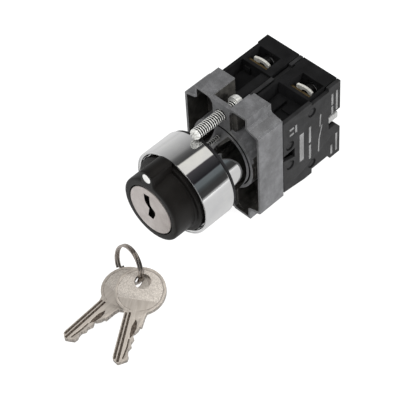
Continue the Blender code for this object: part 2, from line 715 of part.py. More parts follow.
def make_terminal_screw(side, level, sign, centre):
    """Pan-head screw along Y, with the wire clamp under its head."""
    middle = centre + TERMINAL_SHIFT[side]
    axis = (middle, sign * TERMINAL_Z)
    profile = [
        (0.0, SHANK_TIP), (1.1, SHANK_TIP), (1.5, SHANK_TIP + 0.4), (1.5, 27.7), (2.5, 27.7),
        (2.5, 29.5), (1.9, 30.1), (0.0, 30.1),
    ]
    screw = settle(turned(f"{side}_{level}_terminal_screw", profile, ZINC_PLATE, axis, steps=COARSE))
    cut(screw, cross_slot(f"{side}_{level}_terminal_slot", axis, 1.5, (29.3, 31.0)))
    smooth(screw)
    clamp = box(f"{side}_{level}_wire_clamp", spans(middle, -3.3, 3.3), (26.4, 27.4),
                ordered(sign * 7.6, sign * 13.9), ZINC_PLATE)
    cut(clamp, rod(f"{side}_{level}_clamp_hole", 1.8, (26.0, 28.0), axis))


def make_contact_block(side, centre):
    make_block_housing(side, centre)
    make_block_cover(side, centre)
    make_plunger(side, centre)
    make_bridge(side, centre)
    coil(f"{side}_return_spring", 2.2, 0.22, (-22.6, -18.8), 4, SPRING_STEEL, SWITCH,
         (centre, 0.0, 0.0), (math.radians(90.0), 0.0, 0.0))
    for level, sign in (("upper", 1), ("lower", -1)):
        make_terminal(side, level, sign, centre)
        make_terminal_screw(side, level, sign, centre)


# ---------------------------------------------------------------------------------------------
# Keys and ring
# ---------------------------------------------------------------------------------------------

def key_outline():
    """Round bow, stepped shoulder and cut blade, in the key's own frame."""
    cuts = [
        (14.4, 3.1), (14.5, 2.5), (15.5, 2.3), (17.2, 1.15), (18.4, 1.75), (19.9, 1.15),
        (20.8, 1.55), (22.1, 0.85), (23.2, 1.0), (24.0, 1.45), (25.3, 1.35),
    ]
    tip = [(26.2, -0.1), (KEY_LENGTH, -1.2), (25.8, -2.7), (25.0, -3.0)]
    neck = math.degrees(math.asin(3.6 / KEY_BOW_R))
    bow = arc((KEY_BOW_X, 0.0), KEY_BOW_R, -neck, -360.0 + neck, 25)
    return cuts + tip + [(11.2, -3.0)] + bow + [(11.0, 3.3), (12.6, 3.2)]


def make_key(label):
    pose = KEY_POSES[label]
    turn = (0.0, math.radians(pose["droop"]), math.radians(pose["heading"]))
    pivot = new_empty(f"key_{label}_pivot", pose["hole"], turn, SWITCH)
    half = KEY_THICK / 2.0
    key = prism(f"key_{label}", "flat", key_outline(), -half, half, NICKEL, pivot)
    hole = arc((0.0, 0.0), KEY_HOLE_R, 0.0, 345.0, 24)
    cut(key, prism(f"key_{label}_hole", "flat", hole, -2.0, 2.0, parent=pivot))


def make_key_ring():
    """Split ring: two turns of round wire side by side."""
    nx, ny, nz = RING_NORMAL
    pitch = 2.0 * RING_WIRE_R + 0.06
    tilt = math.acos(nz / math.sqrt(nx * nx + ny * ny + nz * nz))
    heading = math.atan2(ny, nx)
    half = pitch * RING_TURNS / 2.0
    coil("key_ring", RING_R, RING_WIRE_R, (-half, half), RING_TURNS, STEEL, SWITCH, RING_CENTRE,
         (0.0, tilt, heading), per_turn=20)


# ---------------------------------------------------------------------------------------------
# Build
# ---------------------------------------------------------------------------------------------

clear_scene()
PARTS = new_collection("selector_key_switch")
CUTTERS = new_collection("cutters")
SWITCH = new_empty("switch_frame", HEAD_PLACE)
ROTOR = new_empty("rotor_axis", parent=SWITCH)

CHROME = new_material("chrome", (0.80, 0.80, 0.80), 0.08, 1.0)
ZINC = new_material("die_cast_zinc", (0.35, 0.35, 0.36), 0.45, 1.0)
ZINC_PLATE = new_material("zinc_plated_steel", (0.75, 0.74, 0.68), 0.25, 1.0)
BRUSHED = new_material("brushed_steel", (0.68, 0.64, 0.62), 0.35, 1.0)
STEEL = new_material("bright_steel", (0.62, 0.60, 0.58), 0.25, 1.0)
SPRING_STEEL = new_material("spring_steel", (0.50, 0.50, 0.50), 0.30, 1.0)
NICKEL = new_material("nickel_silver", (0.60, 0.57, 0.52), 0.35, 1.0)
BRASS = new_material("brass", (0.75, 0.58, 0.30), 0.30, 1.0)
RUBBER = new_material("black_rubber", (0.02, 0.02, 0.02), 0.75, 0.0)
BLACK_PLASTIC = new_material("black_plastic", (0.03, 0.028, 0.028), 0.45, 0.0)
BLOCK_PLASTIC = new_material("block_plastic", (0.045, 0.045, 0.047), 0.55, 0.0)
WHITE_PLASTIC = new_material("white_plastic", (0.82, 0.82, 0.80), 0.40, 0.0)
IVORY_PLASTIC = new_material("ivory_plastic", (0.75, 0.72, 0.62), 0.45, 0.0)

make_bezel_ring()
make_head_body()
make_mounting_gasket()
make_shaft_seal()
make_selector_knob()
make_pointer_dot()
make_lock_plug()
make_lock_wafers()
make_lock_circlip()
make_cam_drum()
make_detent()
make_mounting_collar()
make_fixing_screws()
for block_side, block_centre in BLOCK_CENTRES:
    make_contact_block(block_side, block_centre)
for key_label in KEY_POSES:
    make_key(key_label)
make_key_ring()
bpy.context.view_layer.update()
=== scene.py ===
"""Looks for a key-operated selector switch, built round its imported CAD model.

Shapes are given in the switch's own millimetres: X to the right, Y to the rear and Z up, from the
head's axis at the collar's front face. A piece's object sits at that origin, so its materials can
use the same coordinates.
"""
import json
import math

import bmesh
import bpy
from mathutils import Matrix, Vector

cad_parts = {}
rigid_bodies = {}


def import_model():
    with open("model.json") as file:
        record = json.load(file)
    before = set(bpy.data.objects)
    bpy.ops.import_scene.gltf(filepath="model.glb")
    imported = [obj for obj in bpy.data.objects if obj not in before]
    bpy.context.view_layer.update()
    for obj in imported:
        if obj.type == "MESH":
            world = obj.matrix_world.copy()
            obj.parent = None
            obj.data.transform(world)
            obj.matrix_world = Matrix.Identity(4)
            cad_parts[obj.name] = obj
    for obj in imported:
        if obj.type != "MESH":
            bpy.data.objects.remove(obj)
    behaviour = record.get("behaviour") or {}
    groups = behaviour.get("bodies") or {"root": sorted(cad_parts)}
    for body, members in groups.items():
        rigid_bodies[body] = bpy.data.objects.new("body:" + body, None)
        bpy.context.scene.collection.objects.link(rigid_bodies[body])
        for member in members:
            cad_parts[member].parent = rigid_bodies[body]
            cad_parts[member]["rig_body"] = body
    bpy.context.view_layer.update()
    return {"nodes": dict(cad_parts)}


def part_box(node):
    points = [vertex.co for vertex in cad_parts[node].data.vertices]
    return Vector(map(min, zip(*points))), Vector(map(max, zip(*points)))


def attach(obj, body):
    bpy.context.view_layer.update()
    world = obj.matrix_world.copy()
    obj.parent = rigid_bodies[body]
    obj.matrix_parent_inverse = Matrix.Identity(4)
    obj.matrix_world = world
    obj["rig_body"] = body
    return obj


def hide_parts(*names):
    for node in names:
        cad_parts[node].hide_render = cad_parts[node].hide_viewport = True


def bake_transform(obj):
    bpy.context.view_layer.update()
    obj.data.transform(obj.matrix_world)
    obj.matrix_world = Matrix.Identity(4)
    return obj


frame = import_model()

MM = 0.001
ROOT = "switch_body"

# Head. R is a radius, and a value that ends in X, Y or Z is a place or a span along that axis.
BEZEL_R = 14.4
BEZEL_MOUTH_R = 13.3
BEZEL_FRONT = -21.6
BEZEL_REAR = -10.2
NECK_R = 11.0
NECK_REAR = 6.5
NECK_CLEARANCE = 0.3
BORE_R = 8.7
BORE_STEP_R = 7.7
BORE_STEP_Y = (-8.0, -6.8)
FLANGE_FRONT = -16.3
FLANGE_THICK = 2.7
BEZEL_LIP = 0.42
GASKET_REAR = -8.9
GASKET_R = 13.9
SEAL_R = 10.5
SEAL_WIRE_R = 0.85

# Rotor.
KNOB_FRONT = -30.35
KNOB_R = 11.0
KNOB_FLANGE_R = 12.7
KNOB_GAP_R = 8.7
KNOB_FLANGE_Y = (-22.6, -18.9)
SLEEVE_R = 8.4
SLEEVE_BORE_R = 6.5
SLEEVE_REAR = -8.3
FACE_SEAT = 1.8
LOBE_TOP_R = 15.4
LOBE_HALF_W = 2.6
LOBE_CROWN_R = 4.0
LOBE_REAR = -22.0
LOBE_LEAN = -3.0
DOT_Z = 12.8
DOT_R = 1.6
LOCK_FACE_R = 8.3
LOCK_FACE = KNOB_FRONT - 0.15
LOCK_BARREL_R = 6.2
LOCK_BARREL_REAR = -8.7
LOCK_TAIL_R = 4.0
LOCK_TAIL_REAR = -5.2
LOCK_STUB_R = 2.8
LOCK_STUB_REAR = -2.2
WARD_COUNT = 4
WARD_FIRST = 1.1
WARD_PITCH = 3.2
WARD_THICK = 0.9
WAFER_COUNT = 5

# Collar and fixing screws.
COLLAR_HALF_W = 15.0
COLLAR_SKIN = 0.5
HOLLOW_Y = (0.2, 8.8)
HORN_FOOT_Z = 17.7
HORN_TOP = 21.6
HORN_X = (4.2, 10.3)
HORN_REAR = 8.0
SCREW_Z = 16.5
SCREW_R = 1.8
SCREW_TIP = -11.6
SCREW_HEAD_R = 2.6
SCREW_HEAD_Y = (5.5, 7.9)
POINT_LENGTH = 0.9
POINT_TEETH = 8
THREAD_PITCH = 0.78
THREAD_DEPTH = 0.34
CROSS_HALF_W = 0.35

# Contact blocks.
BLOCKS = (("left", -7.5), ("right", 7.5))
LEVELS = (("upper", 1), ("lower", -1))
TERMINAL_Z = 10.6
TERMINAL_SHIFT = {"left": -1.2, "right": 1.2}
SHANK_TIP = 23.5
SHANK_R = 1.5
PAN_HEAD_R = 2.5
PAN_HEAD_Y = (27.7, 30.1)
CLAMP_HALF_W = 3.05
CLAMP_Y = (26.3, 27.1)
CLAMP_BOW = 0.5
CLAMP_Z = (7.6, 13.4)
CLAMP_HOLE_R = 1.8
POCKET_LIP_HALF_W = 4.0
POCKET_LIP_Y = (24.1, 25.5)
POCKET_LIP_Z = (9.0, 13.3)
COVER_FACE = 7.45
WELL_FLOOR = 9.6
RIVETS = ((23.0, 10.1), (23.0, -11.9), (13.4, 3.3), (13.4, -5.1))
RIVET_R = 1.62
PAD_R = 1.12
PAD_SHIFT = (-0.5, 0.45)
RECESS_DEPTH = 0.7
BAR_END_X = 6.8
BAR_END_Y = (30.75, 35.4)
BAR_END_Z = (-1.55, 0.85)
BAR_HOLLOW_Y = (28.4, 31.0)
BAR_CLEARANCE = 0.3

# Marks on the cover: each row of bars by its span along Y and its bars' spans along Z, and the
# contact symbol's strokes by their ends.
PRINT_ROWS = (
    ((17.5, 19.3), ((-7.0, 4.6),)),
    ((21.6, 22.5), ((-9.0, -3.0), (-2.0, 4.8))),
    ((31.6, 32.4), ((2.9, 6.0), (6.6, 11.2))),
    ((33.6, 34.4), ((3.4, 11.4),)),
    ((31.4, 32.2), ((-14.6, -10.6),)),
    ((33.6, 34.4), ((-14.6, -7.0),)),
    ((13.2, 15.0), ((7.2, 8.0), (9.4, 10.2))),
    ((15.6, 16.4), ((7.2, 10.2),)),
)
PRINT_STROKES = (((25.9, -8.8), (26.1, -3.6)), ((26.1, -3.6), (27.4, 1.6)), ((26.5, 1.6), (26.8, 6.6)))
PRINT_STROKE_W = 0.5

# Keys.
KEY_THICK = 1.5
KEY_BOW_R = 7.6
KEY_BOW_X = 3.0
KEY_HOLE_R = 2.45
KEY_LENGTH = 26.8
KEY_NECK_HALF_W = 3.6
KEY_RIM = 0.85
KEY_PLACE = "key_place"
KEY_LOOKS = ["key", "stipple", "groove", "key_edge", "rim_shadow_line"]
KEY_POSES = {
    "front": {"hole": (8.19, -42.87, -15.19), "heading": -58.7, "droop": 12.2},
    "rear": {"hole": (4.80, -43.48, -17.73), "heading": -90.8, "droop": 6.6},
}
RING_CENTRE = (0.95, -41.34, -14.35)
RING_NORMAL = (-0.19, -0.956, 0.225)
RING_R = 6.0
RING_WIRE_R = 0.4
RING_TURNS = 2

# Springs, from the fixed end to the moving one.
RETURN_SPRING_Y = (22.55, 18.85)
DETENT_SPRING_Z = (-3.85, -6.35)
DETENT_Y = -3.2
COIL_STEPS = 24

# The floor: its own brightness, and what mirrors see of it from left to right.
FLOOR_HALF_W = 1500.0
FLOOR_THICK = 2.0
FLOOR_GLOW = 0.92
FLOOR_SEEN = ((0.0, 0.50), (0.45, 0.52), (0.6, 0.36), (1.0, 0.30))
FLOOR_SEEN_HALF_W = 120.0

# The studio round the switch: its even light, and the brightness mirrors see in it by the angle
# from straight up towards +X, in degrees.
STUDIO_LIGHT = 0.62
CREAM = (0.80, 0.79, 0.745)
TEAL = (0.140, 0.157, 0.166)
STUDIO_SEEN = (
    (-180, 0.62), (-83, 0.66), (-63, 0.52), (-43, 0.37), (-33, 0.28), (-25, 0.13), (-18, 0.085),
    (-9, 0.062), (-6, CREAM), (20, (0.78, 0.77, 0.74)), (22.5, (0.064, 0.060, 0.067)),
    (37, (0.036, 0.036, 0.039)), (49, (0.015, 0.014, 0.017)), (52, TEAL), (62, (0.125, 0.142, 0.150)),
    (68, (0.066, 0.073, 0.076)), (76, 0.046), (88, 0.050), (94, 0.45), (180, 0.60),
)

# Camera, as the photograph was taken.
AZIMUTH = math.radians(47.41)
ELEVATION = math.radians(48.33)
ROLL = math.radians(-3.86)
DISTANCE = 543.2
AIM_RIGHT = -6.87
AIM_UP = -13.91
LENS = 163.85
SENSOR = 36.0

# Where the head's axis meets the collar's front face, from the bezel's box.
bezel_low, bezel_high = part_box("bezel_ring")
ORIGIN = Vector((
    (bezel_low.x + bezel_high.x) / 2.0,
    bezel_high.y - BEZEL_REAR * MM,
    (bezel_low.z + bezel_high.z) / 2.0,
))


# ---- Materials ----

def new_shader(name, metallic=0.0):
    """A material with its node tree, its shader node, and the piece's coordinates in millimetres."""
    material = bpy.data.materials.new(name)
    material.use_nodes = True
    tree = material.node_tree
    surface = tree.nodes["Principled BSDF"]
    surface.inputs["Metallic"].default_value = metallic
    coordinates = tree.nodes.new("ShaderNodeTexCoord")
    scaled = tree.nodes.new("ShaderNodeVectorMath")
    scaled.operation = "SCALE"
    scaled.inputs["Scale"].default_value = 1.0 / MM
    tree.links.new(coordinates.outputs["Object"], scaled.inputs[0])
    return material, tree, surface, scaled.outputs["Vector"]


def stretched(tree, vector, scale):
    """The coordinates stretched by a factor along each axis."""
    node = tree.nodes.new("ShaderNodeMapping")
    node.inputs["Scale"].default_value = scale
    tree.links.new(vector, node.inputs["Vector"])
    return node.outputs["Vector"]


def noise(tree, vector, per_mm, detail=3.0, roughness=0.55):
    """Noise with its scale in features per millimetre."""
    node = tree.nodes.new("ShaderNodeTexNoise")
    node.inputs["Scale"].default_value = per_mm
    node.inputs["Detail"].default_value = detail
    node.inputs["Roughness"].default_value = roughness
    tree.links.new(vector, node.inputs["Vector"])
    return node.outputs["Fac"]


def ramp(tree, value, stops):
    """Colours along a value. stops holds (position, colour), with grey given as one number."""
    node = tree.nodes.new("ShaderNodeValToRGB")
    elements = node.color_ramp.elements
    while len(elements) < len(stops):
        elements.new(0.5)
    for element, (position, colour) in zip(elements, stops):
        element.position = position
        grey = isinstance(colour, (int, float))
        element.color = (colour, colour, colour, 1.0) if grey else (*colour, 1.0)
    tree.links.new(value, node.inputs["Fac"])
    return node.outputs["Color"]


def spread(tree, value, low, high, start=0.3, end=0.7):
    """A value from start to end turned into one from low to high."""
    node = tree.nodes.new("ShaderNodeMapRange")
    node.inputs["From Min"].default_value = start
    node.inputs["From Max"].default_value = end
    node.inputs["To Min"].default_value = low
    node.inputs["To Max"].default_value = high
    tree.links.new(value, node.inputs["Value"])
    return node.outputs["Result"]


def math_node(tree, operation, first, second):
    """A sum, product or angle of two values, each a number or another node's result."""
    node = tree.nodes.new("ShaderNodeMath")
    node.operation = operation
    for socket, value in zip(node.inputs, (first, second)):
        if isinstance(value, (int, float)):
            socket.default_value = value
        else:
            tree.links.new(value, socket)
    return node.outputs["Value"]


def blended(tree, first, second, share):
    """Two patterns mixed, with share of the first."""
    return math_node(tree, "ADD", math_node(tree, "MULTIPLY", first, share),
                     math_node(tree, "MULTIPLY", second, 1.0 - share))


def coat(tree, surface, colours, stops, gloss, roughness, relief, depth):
    """Colour a shader by one pattern, roughen it by another, and bump it depth mm by a third."""
    tree.links.new(ramp(tree, colours, stops), surface.inputs["Base Color"])
    tree.links.new(spread(tree, gloss, *roughness), surface.inputs["Roughness"])
    bump = tree.nodes.new("ShaderNodeBump")
    bump.inputs["Strength"].default_value = 1.0
    bump.inputs["Distance"].default_value = depth * MM
    tree.links.new(relief, bump.inputs["Height"])
    tree.links.new(bump.outputs["Normal"], surface.inputs["Normal"])


def glossy_mix(tree, plain, mirrored):
    """A grey for the camera and for light, and another colour for what mirrors see."""
    rays = tree.nodes.new("ShaderNodeLightPath")
    mix = tree.nodes.new("ShaderNodeMix")
    mix.data_type = "RGBA"
    mix.inputs["A"].default_value = (plain, plain, plain, 1.0)
    tree.links.new(rays.outputs["Is Glossy Ray"], mix.inputs["Factor"])
    tree.links.new(mirrored, mix.inputs["B"])
    return mix.outputs["Result"]


def polished_chrome():
    """Bright plating with faint smears and the slight orange peel of polished zinc below it."""
    material, tree, surface, place = new_shader("polished_chrome", 1.0)
    smears = noise(tree, place, 0.25, 5.0)
    stops = ((0.3, (0.80, 0.80, 0.81)), (0.7, (0.87, 0.87, 0.86)))
    coat(tree, surface, smears, stops, smears, (0.03, 0.07), noise(tree, place, 0.5, 2.0), 0.004)
    return material


def cast_zinc():
    """Tumbled die-cast zinc: mottled grey with a fine grain."""
    material, tree, surface, place = new_shader("cast_zinc", 0.6)
    grain = noise(tree, place, 3.2, 4.0, 0.6)
    both = blended(tree, noise(tree, place, 0.3, 6.0, 0.62), grain, 0.55)
    stops = ((0.36, (0.120, 0.121, 0.124)), (0.5, (0.170, 0.171, 0.176)), (0.64, (0.250, 0.252, 0.260)))
    coat(tree, surface, both, stops, grain, (0.40, 0.6), grain, 0.035)
    return material


def worn_zinc():
    """The collar's edges, rubbed brighter than its faces."""
    material, tree, surface, place = new_shader("worn_zinc", 0.7)
    rubbed = noise(tree, place, 1.2, 5.0, 0.65)
    stops = ((0.35, (0.28, 0.28, 0.28)), (0.65, (0.74, 0.74, 0.72)))
    coat(tree, surface, rubbed, stops, rubbed, (0.45, 0.3), noise(tree, place, 6.0, 2.0), 0.012)
    return material


def hollow_shade_zinc():
    """Painted shade for the collar's hollows: an unpolished, near-black zinc that stands in for the shade
    falling in them.
    """
    material, tree, surface, place = new_shader("hollow_shade_zinc", 0.3)
    stain = noise(tree, place, 0.5, 5.0, 0.6)
    stops = ((0.35, (0.020, 0.019, 0.017)), (0.65, (0.062, 0.059, 0.053)))
    coat(tree, surface, stain, stops, stain, (0.45, 0.62), noise(tree, place, 3.2, 4.0, 0.6), 0.035)
    return material


def plated_steel(name, dull, bright, smooth, rough, metallic=1.0):
    """Plated or polished steel or brass, uneven in colour and gloss."""
    material, tree, surface, place = new_shader(name, metallic)
    cloud = noise(tree, place, 1.5, 5.0)
    relief = noise(tree, place, 4.0, 2.0)
    coat(tree, surface, cloud, ((0.3, dull), (0.7, bright)), cloud, (rough, smooth), relief, 0.006)
    return material


def lock_face_steel():
    """The plug's face, turned on a lathe: fine rings round its axis over a warm satin grey."""
    material, tree, surface, place = new_shader("lock_face_steel", 0.85)
    length = tree.nodes.new("ShaderNodeVectorMath")
    length.operation = "LENGTH"
    tree.links.new(stretched(tree, place, (1.0, 0.0, 1.0)), length.inputs[0])
    rings = noise(tree, math_node(tree, "MULTIPLY", length.outputs["Value"], 7.0), 1.0, 2.0)
    both = blended(tree, noise(tree, place, 0.35, 4.0), noise(tree, place, 4.0, 3.0), 0.5)
    stops = ((0.36, (0.50, 0.455, 0.435)), (0.64, (0.66, 0.615, 0.59)))
    coat(tree, surface, both, stops, rings, (0.34, 0.46), rings, 0.006)
    return material


def moulded_plastic(name, dark, light, smooth, rough, grain_depth, grain_per_mm=6.0, gloss=0.5):
    """Moulded plastic: a fine spark-eroded grain, and slow changes of colour and gloss."""
    material, tree, surface, place = new_shader(name)
    surface.inputs["Specular IOR Level"].default_value = gloss
    cloud = noise(tree, place, 0.2, 4.0)
    grain = noise(tree, place, grain_per_mm, 3.0)
    coat(tree, surface, cloud, ((0.3, dark), (0.7, light)), grain, (smooth, rough), grain, grain_depth)
    return material


def key_shader(name, metallic=0.0):
    """A material in a key's own coordinates, which its mesh carries, as new_shader gives them."""
    material, tree, surface, _ = new_shader(name, metallic)
    own = tree.nodes.new("ShaderNodeAttribute")
    own.attribute_name = KEY_PLACE
    return material, tree, surface, own.outputs["Vector"]


def key_nickel():
    """Pressed nickel silver, drawn lengthways, dulled by handling."""
    material, tree, surface, place = key_shader("key_nickel", 0.35)
    streaks = noise(tree, stretched(tree, place, (0.2, 2.0, 1.0)), 1.0, 4.0)
    stops = ((0.3, (0.340, 0.303, 0.264)), (0.7, (0.440, 0.400, 0.358)))
    coat(tree, surface, streaks, stops, streaks, (0.32, 0.46), streaks, 0.012)
    return material


def key_stipple():
    """The bow's sunken face: the same metal, pecked all over by the stamp."""
    material, tree, surface, place = key_shader("key_stipple", 0.4)
    pecks = noise(tree, place, 4.0, 2.0)
    stops = ((0.35, (0.35, 0.315, 0.280)), (0.62, (0.58, 0.535, 0.485)))
    coat(tree, surface, pecks, stops, pecks, (0.55, 0.38), pecks, 0.04)
    return material


def key_edge():
    """Sawn and rubbed edges of the key, a little darker than its faces."""
    material, tree, surface, place = key_shader("key_edge", 0.6)
    saw = noise(tree, stretched(tree, place, (3.0, 3.0, 0.5)), 1.0, 3.0)
    stops = ((0.35, (0.20, 0.18, 0.16)), (0.65, (0.42, 0.38, 0.34)))
    coat(tree, surface, saw, stops, saw, (0.5, 0.35), saw, 0.03)
    return material


def sunken_lining(name, dark, light):
    """A darker lining for a sunken shape of a key: the blade's grooves darker than its faces, and the
    painted shadow line round the dish.
    """
    material, tree, surface, place = key_shader(name)
    surface.inputs["Specular IOR Level"].default_value = 0.25
    dirt = noise(tree, place, 1.6, 4.0)
    coat(tree, surface, dirt, ((0.35, dark), (0.65, light)), dirt, (0.5, 0.7), dirt, 0.03)
    return material


MATERIALS = {
    "chrome": polished_chrome(),
    "zinc": cast_zinc(),
    "worn_zinc": worn_zinc(),
    # Painted shade for the collar's hollows.
    "hollow_shade_zinc": hollow_shade_zinc(),
    "screw": plated_steel("zinc_plated_steel", (0.80, 0.80, 0.77), (0.97, 0.97, 0.94), 0.2, 0.3, 0.6),
    # Painted shade: near-black steel in the fixing screws' thread valleys and cross recesses.
    "valley": plated_steel("thread_valley_shade", (0.02, 0.02, 0.02), (0.06, 0.06, 0.055), 0.3, 0.5),
    # Painted shade: near-black steel below the terminal screws' heads and on the keyway's walls.
    "shade_steel": plated_steel("shaded_steel", (0.02, 0.02, 0.02), (0.05, 0.05, 0.05), 0.35, 0.5),
    "clamp": plated_steel("clamp_plating", (0.50, 0.49, 0.44), (0.86, 0.85, 0.80), 0.25, 0.4, 0.5),
    "steel": plated_steel("bright_steel", (0.36, 0.32, 0.285), (0.56, 0.51, 0.47), 0.13, 0.24),
    "spring": plated_steel("spring_wire", (0.30, 0.30, 0.30), (0.50, 0.50, 0.50), 0.2, 0.35),
    "brass": plated_steel("bright_brass", (0.30, 0.20, 0.07), (0.55, 0.42, 0.20), 0.22, 0.4),
    # Brass at about half brightness, for the terminals.
    "dim_brass": plated_steel("dimmed_brass", (0.11, 0.075, 0.03), (0.30, 0.22, 0.11), 0.3, 0.5),
    "lock": lock_face_steel(),
    "rubber": moulded_plastic("seal_rubber", (0.006, 0.006, 0.006), (0.012, 0.012, 0.013), 0.55, 0.75,
                              0.01, gloss=0.3),
    "knob": moulded_plastic("knob_plastic", (0.0032, 0.0028, 0.0025), (0.0060, 0.0053, 0.0048),
                            0.36, 0.52, 0.012, gloss=0.24),
    "block": moulded_plastic("block_plastic", (0.0040, 0.0040, 0.0042), (0.0085, 0.0085, 0.0089),
                             0.48, 0.64, 0.02, gloss=0.12),
    "cover": moulded_plastic("cover_plastic", (0.0080, 0.0080, 0.0083), (0.0175, 0.0175, 0.0180),
                             0.45, 0.6, 0.022, gloss=0.3),
    "white": moulded_plastic("white_plastic", (0.66, 0.66, 0.64), (0.80, 0.80, 0.78), 0.35, 0.5, 0.01),
    "plunger": moulded_plastic("plunger_plastic", (0.20, 0.20, 0.197), (0.27, 0.27, 0.267), 0.35, 0.5, 0.01),
    "ivory": moulded_plastic("ivory_plastic", (0.60, 0.56, 0.44), (0.74, 0.70, 0.58), 0.35, 0.5, 0.01),
    "print": moulded_plastic("printed_ink", (0.10, 0.10, 0.10), (0.19, 0.19, 0.19), 0.5, 0.7, 0.01, 3.0),
    "key": key_nickel(),
    "stipple": key_stipple(),
    "key_edge": key_edge(),
    "groove": sunken_lining("sunken_lining", (0.034, 0.026, 0.020), (0.100, 0.080, 0.064)),
    # A painted shadow line at the inner edge of the key's rim.
    "rim_shadow_line": sunken_lining("rim_shadow_line", (0.20, 0.18, 0.16), (0.32, 0.29, 0.26)),
}


# ---- Making pieces ----

def new_object(name, data):
    """An object linked to the scene."""
    thing = bpy.data.objects.new(name, data)
    bpy.context.scene.collection.objects.link(thing)
    return thing


def add_piece(name, mesh, material, body, replaced=()):
    """Put a mesh made in millimetres in the scene, riding on a body and standing for CAD nodes."""
    mesh.transform(Matrix.Scale(MM, 4))
    piece = new_object(name, mesh)
    for item in material if isinstance(material, list) else [material]:
        mesh.materials.append(MATERIALS[item])
    piece.location = ORIGIN
    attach(piece, body)
    if replaced:
        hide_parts(*replaced)
    return piece


def smooth_faces(mesh, degrees=35.0):
    """Shade a mesh smooth, but for edges sharper than the angle given."""
    for polygon in mesh.polygons:
        polygon.use_smooth = True
    mesh.set_sharp_from_angle(angle=math.radians(degrees))


def bend(points, steps=4):
    """Round a profile. points holds (radius, y, corner size), and a corner size of 0 stays sharp."""
    out = []
    count = len(points)
    for i, (radius, y, size) in enumerate(points):
        here = Vector((radius, y))
        if size == 0.0:
            out.append((radius, y))
            continue
        before = Vector(points[i - 1][:2]) - here
        after = Vector(points[(i + 1) % count][:2]) - here
        start = here + before.normalized() * min(size, before.length / 2.0)
        end = here + after.normalized() * min(size, after.length / 2.0)
        for k in range(steps + 1):
            t = k / steps
            spot = start * (1.0 - t) ** 2 + here * 2.0 * t * (1.0 - t) + end * t * t
            out.append((spot.x, spot.y))
    return out


def finished(name, work):
    """The mesh of a bmesh, its faces all turned outward."""
    bmesh.ops.recalc_face_normals(work, faces=work.faces)
    mesh = bpy.data.meshes.new(name)
    work.to_mesh(mesh)
    work.free()
    return mesh


def turned_mesh(name, profile, segments=160, centre=(0.0, 0.0), warp=None, closed=True):
    """A surface turned about a line along Y. warp(radius, y, angle) moves a point; angle 0 is up."""
    work = bmesh.new()
    rings = []
    for radius, y in profile:
        ring = []
        if radius == 0.0:
            ring = [work.verts.new((centre[0], y, centre[1]))] * segments
        else:
            for k in range(segments):
                angle = 2.0 * math.pi * k / segments
                r, v = warp(radius, y, angle) if warp else (radius, y)
                ring.append(work.verts.new((centre[0] + r * math.sin(angle), v,
                                            centre[1] + r * math.cos(angle))))
        rings.append(ring)
    last = len(rings) if closed else len(rings) - 1
    for i in range(last):
        a, b = rings[i], rings[(i + 1) % len(rings)]
        for k in range(segments):
            n = (k + 1) % segments
            corners = []
            for vertex in (a[k], a[n], b[n], b[k]):
                if vertex not in corners:
                    corners.append(vertex)
            if len(corners) > 2:
                work.faces.new(corners)
    mesh = finished(name, work)
    smooth_faces(mesh)
    return mesh


def box_mesh(name, x_span, y_span, z_span):
    """A box by its lowest and highest value along each axis."""
    work = bmesh.new()
    bmesh.ops.create_cube(work, size=1.0)
    spans = (x_span, y_span, z_span)
    bmesh.ops.scale(work, vec=[s[1] - s[0] for s in spans], verts=work.verts)
    bmesh.ops.translate(work, vec=[(s[0] + s[1]) / 2.0 for s in spans], verts=work.verts)
    return finished(name, work)


AXES = {
    "front": Matrix(((1, 0, 0), (0, 0, 1), (0, 1, 0))).to_4x4(),
    "side": Matrix(((0, 0, 1), (1, 0, 0), (0, 1, 0))).to_4x4(),
    "flat": Matrix.Identity(4),
}


def prism_mesh(name, plane, outline, low, high):
    """A flat outline with thickness. front: (x, z) along Y; side: (y, z) along X; flat: (x, y)."""
    work = bmesh.new()
    lower = [work.verts.new((u, v, low)) for u, v in outline]
    upper = [work.verts.new((u, v, high)) for u, v in outline]
    work.faces.new(lower)
    work.faces.new(upper)
    for i in range(len(outline)):
        k = (i + 1) % len(outline)
        work.faces.new((lower[i], lower[k], upper[k], upper[i]))
    bmesh.ops.transform(work, matrix=AXES[plane], verts=work.verts)
    return finished(name, work)


def arc(centre, radius, start, end, count):
    """Points on an arc, angles in degrees, both ends included."""
    points = []
    for i in range(count):
        angle = math.radians(start + (end - start) * i / (count - 1))
        points.append((centre[0] + radius * math.cos(angle), centre[1] + radius * math.sin(angle)))
    return points


def add_cutter(name, mesh, piece, lining=0, operation="DIFFERENCE"):
    """A hidden shape cut out of a piece or fused to it, its faces in one of the piece's materials."""
    mesh.transform(Matrix.Scale(MM, 4))
    for material in piece.data.materials:
        mesh.materials.append(material)
    for polygon in mesh.polygons:
        polygon.material_index = lining
    cutter = new_object(name, mesh)
    cutter.location = ORIGIN
    step = piece.modifiers.new(name, "BOOLEAN")
    step.operation = operation
    step.solver = "EXACT"
    step.material_mode = "INDEX"
    step.object = cutter
    return cutter


def settle(piece, *cutters, degrees=35.0):
    """Replace a piece's modifiers by the mesh they make, and drop its cutters."""
    bpy.context.view_layer.update()
    evaluated = piece.evaluated_get(bpy.context.evaluated_depsgraph_get())
    mesh = bpy.data.meshes.new_from_object(evaluated)
    piece.modifiers.clear()
    piece.data = mesh
    smooth_faces(mesh, degrees)
    for cutter in cutters:
        bpy.data.objects.remove(cutter)


def soften(piece, width, segments=2, edge_slot=None, degrees=30.0):
    """Round a piece's hard edges, in another of its materials where edge_slot is given."""
    step = piece.modifiers.new("soft_edges", "BEVEL")
    step.width = width * MM
    step.segments = segments
    step.limit_method = "ANGLE"
    step.angle_limit = math.radians(degrees)
    step.use_clamp_overlap = True
    step.harden_normals = True
    if edge_slot is not None:
        step.material = edge_slot


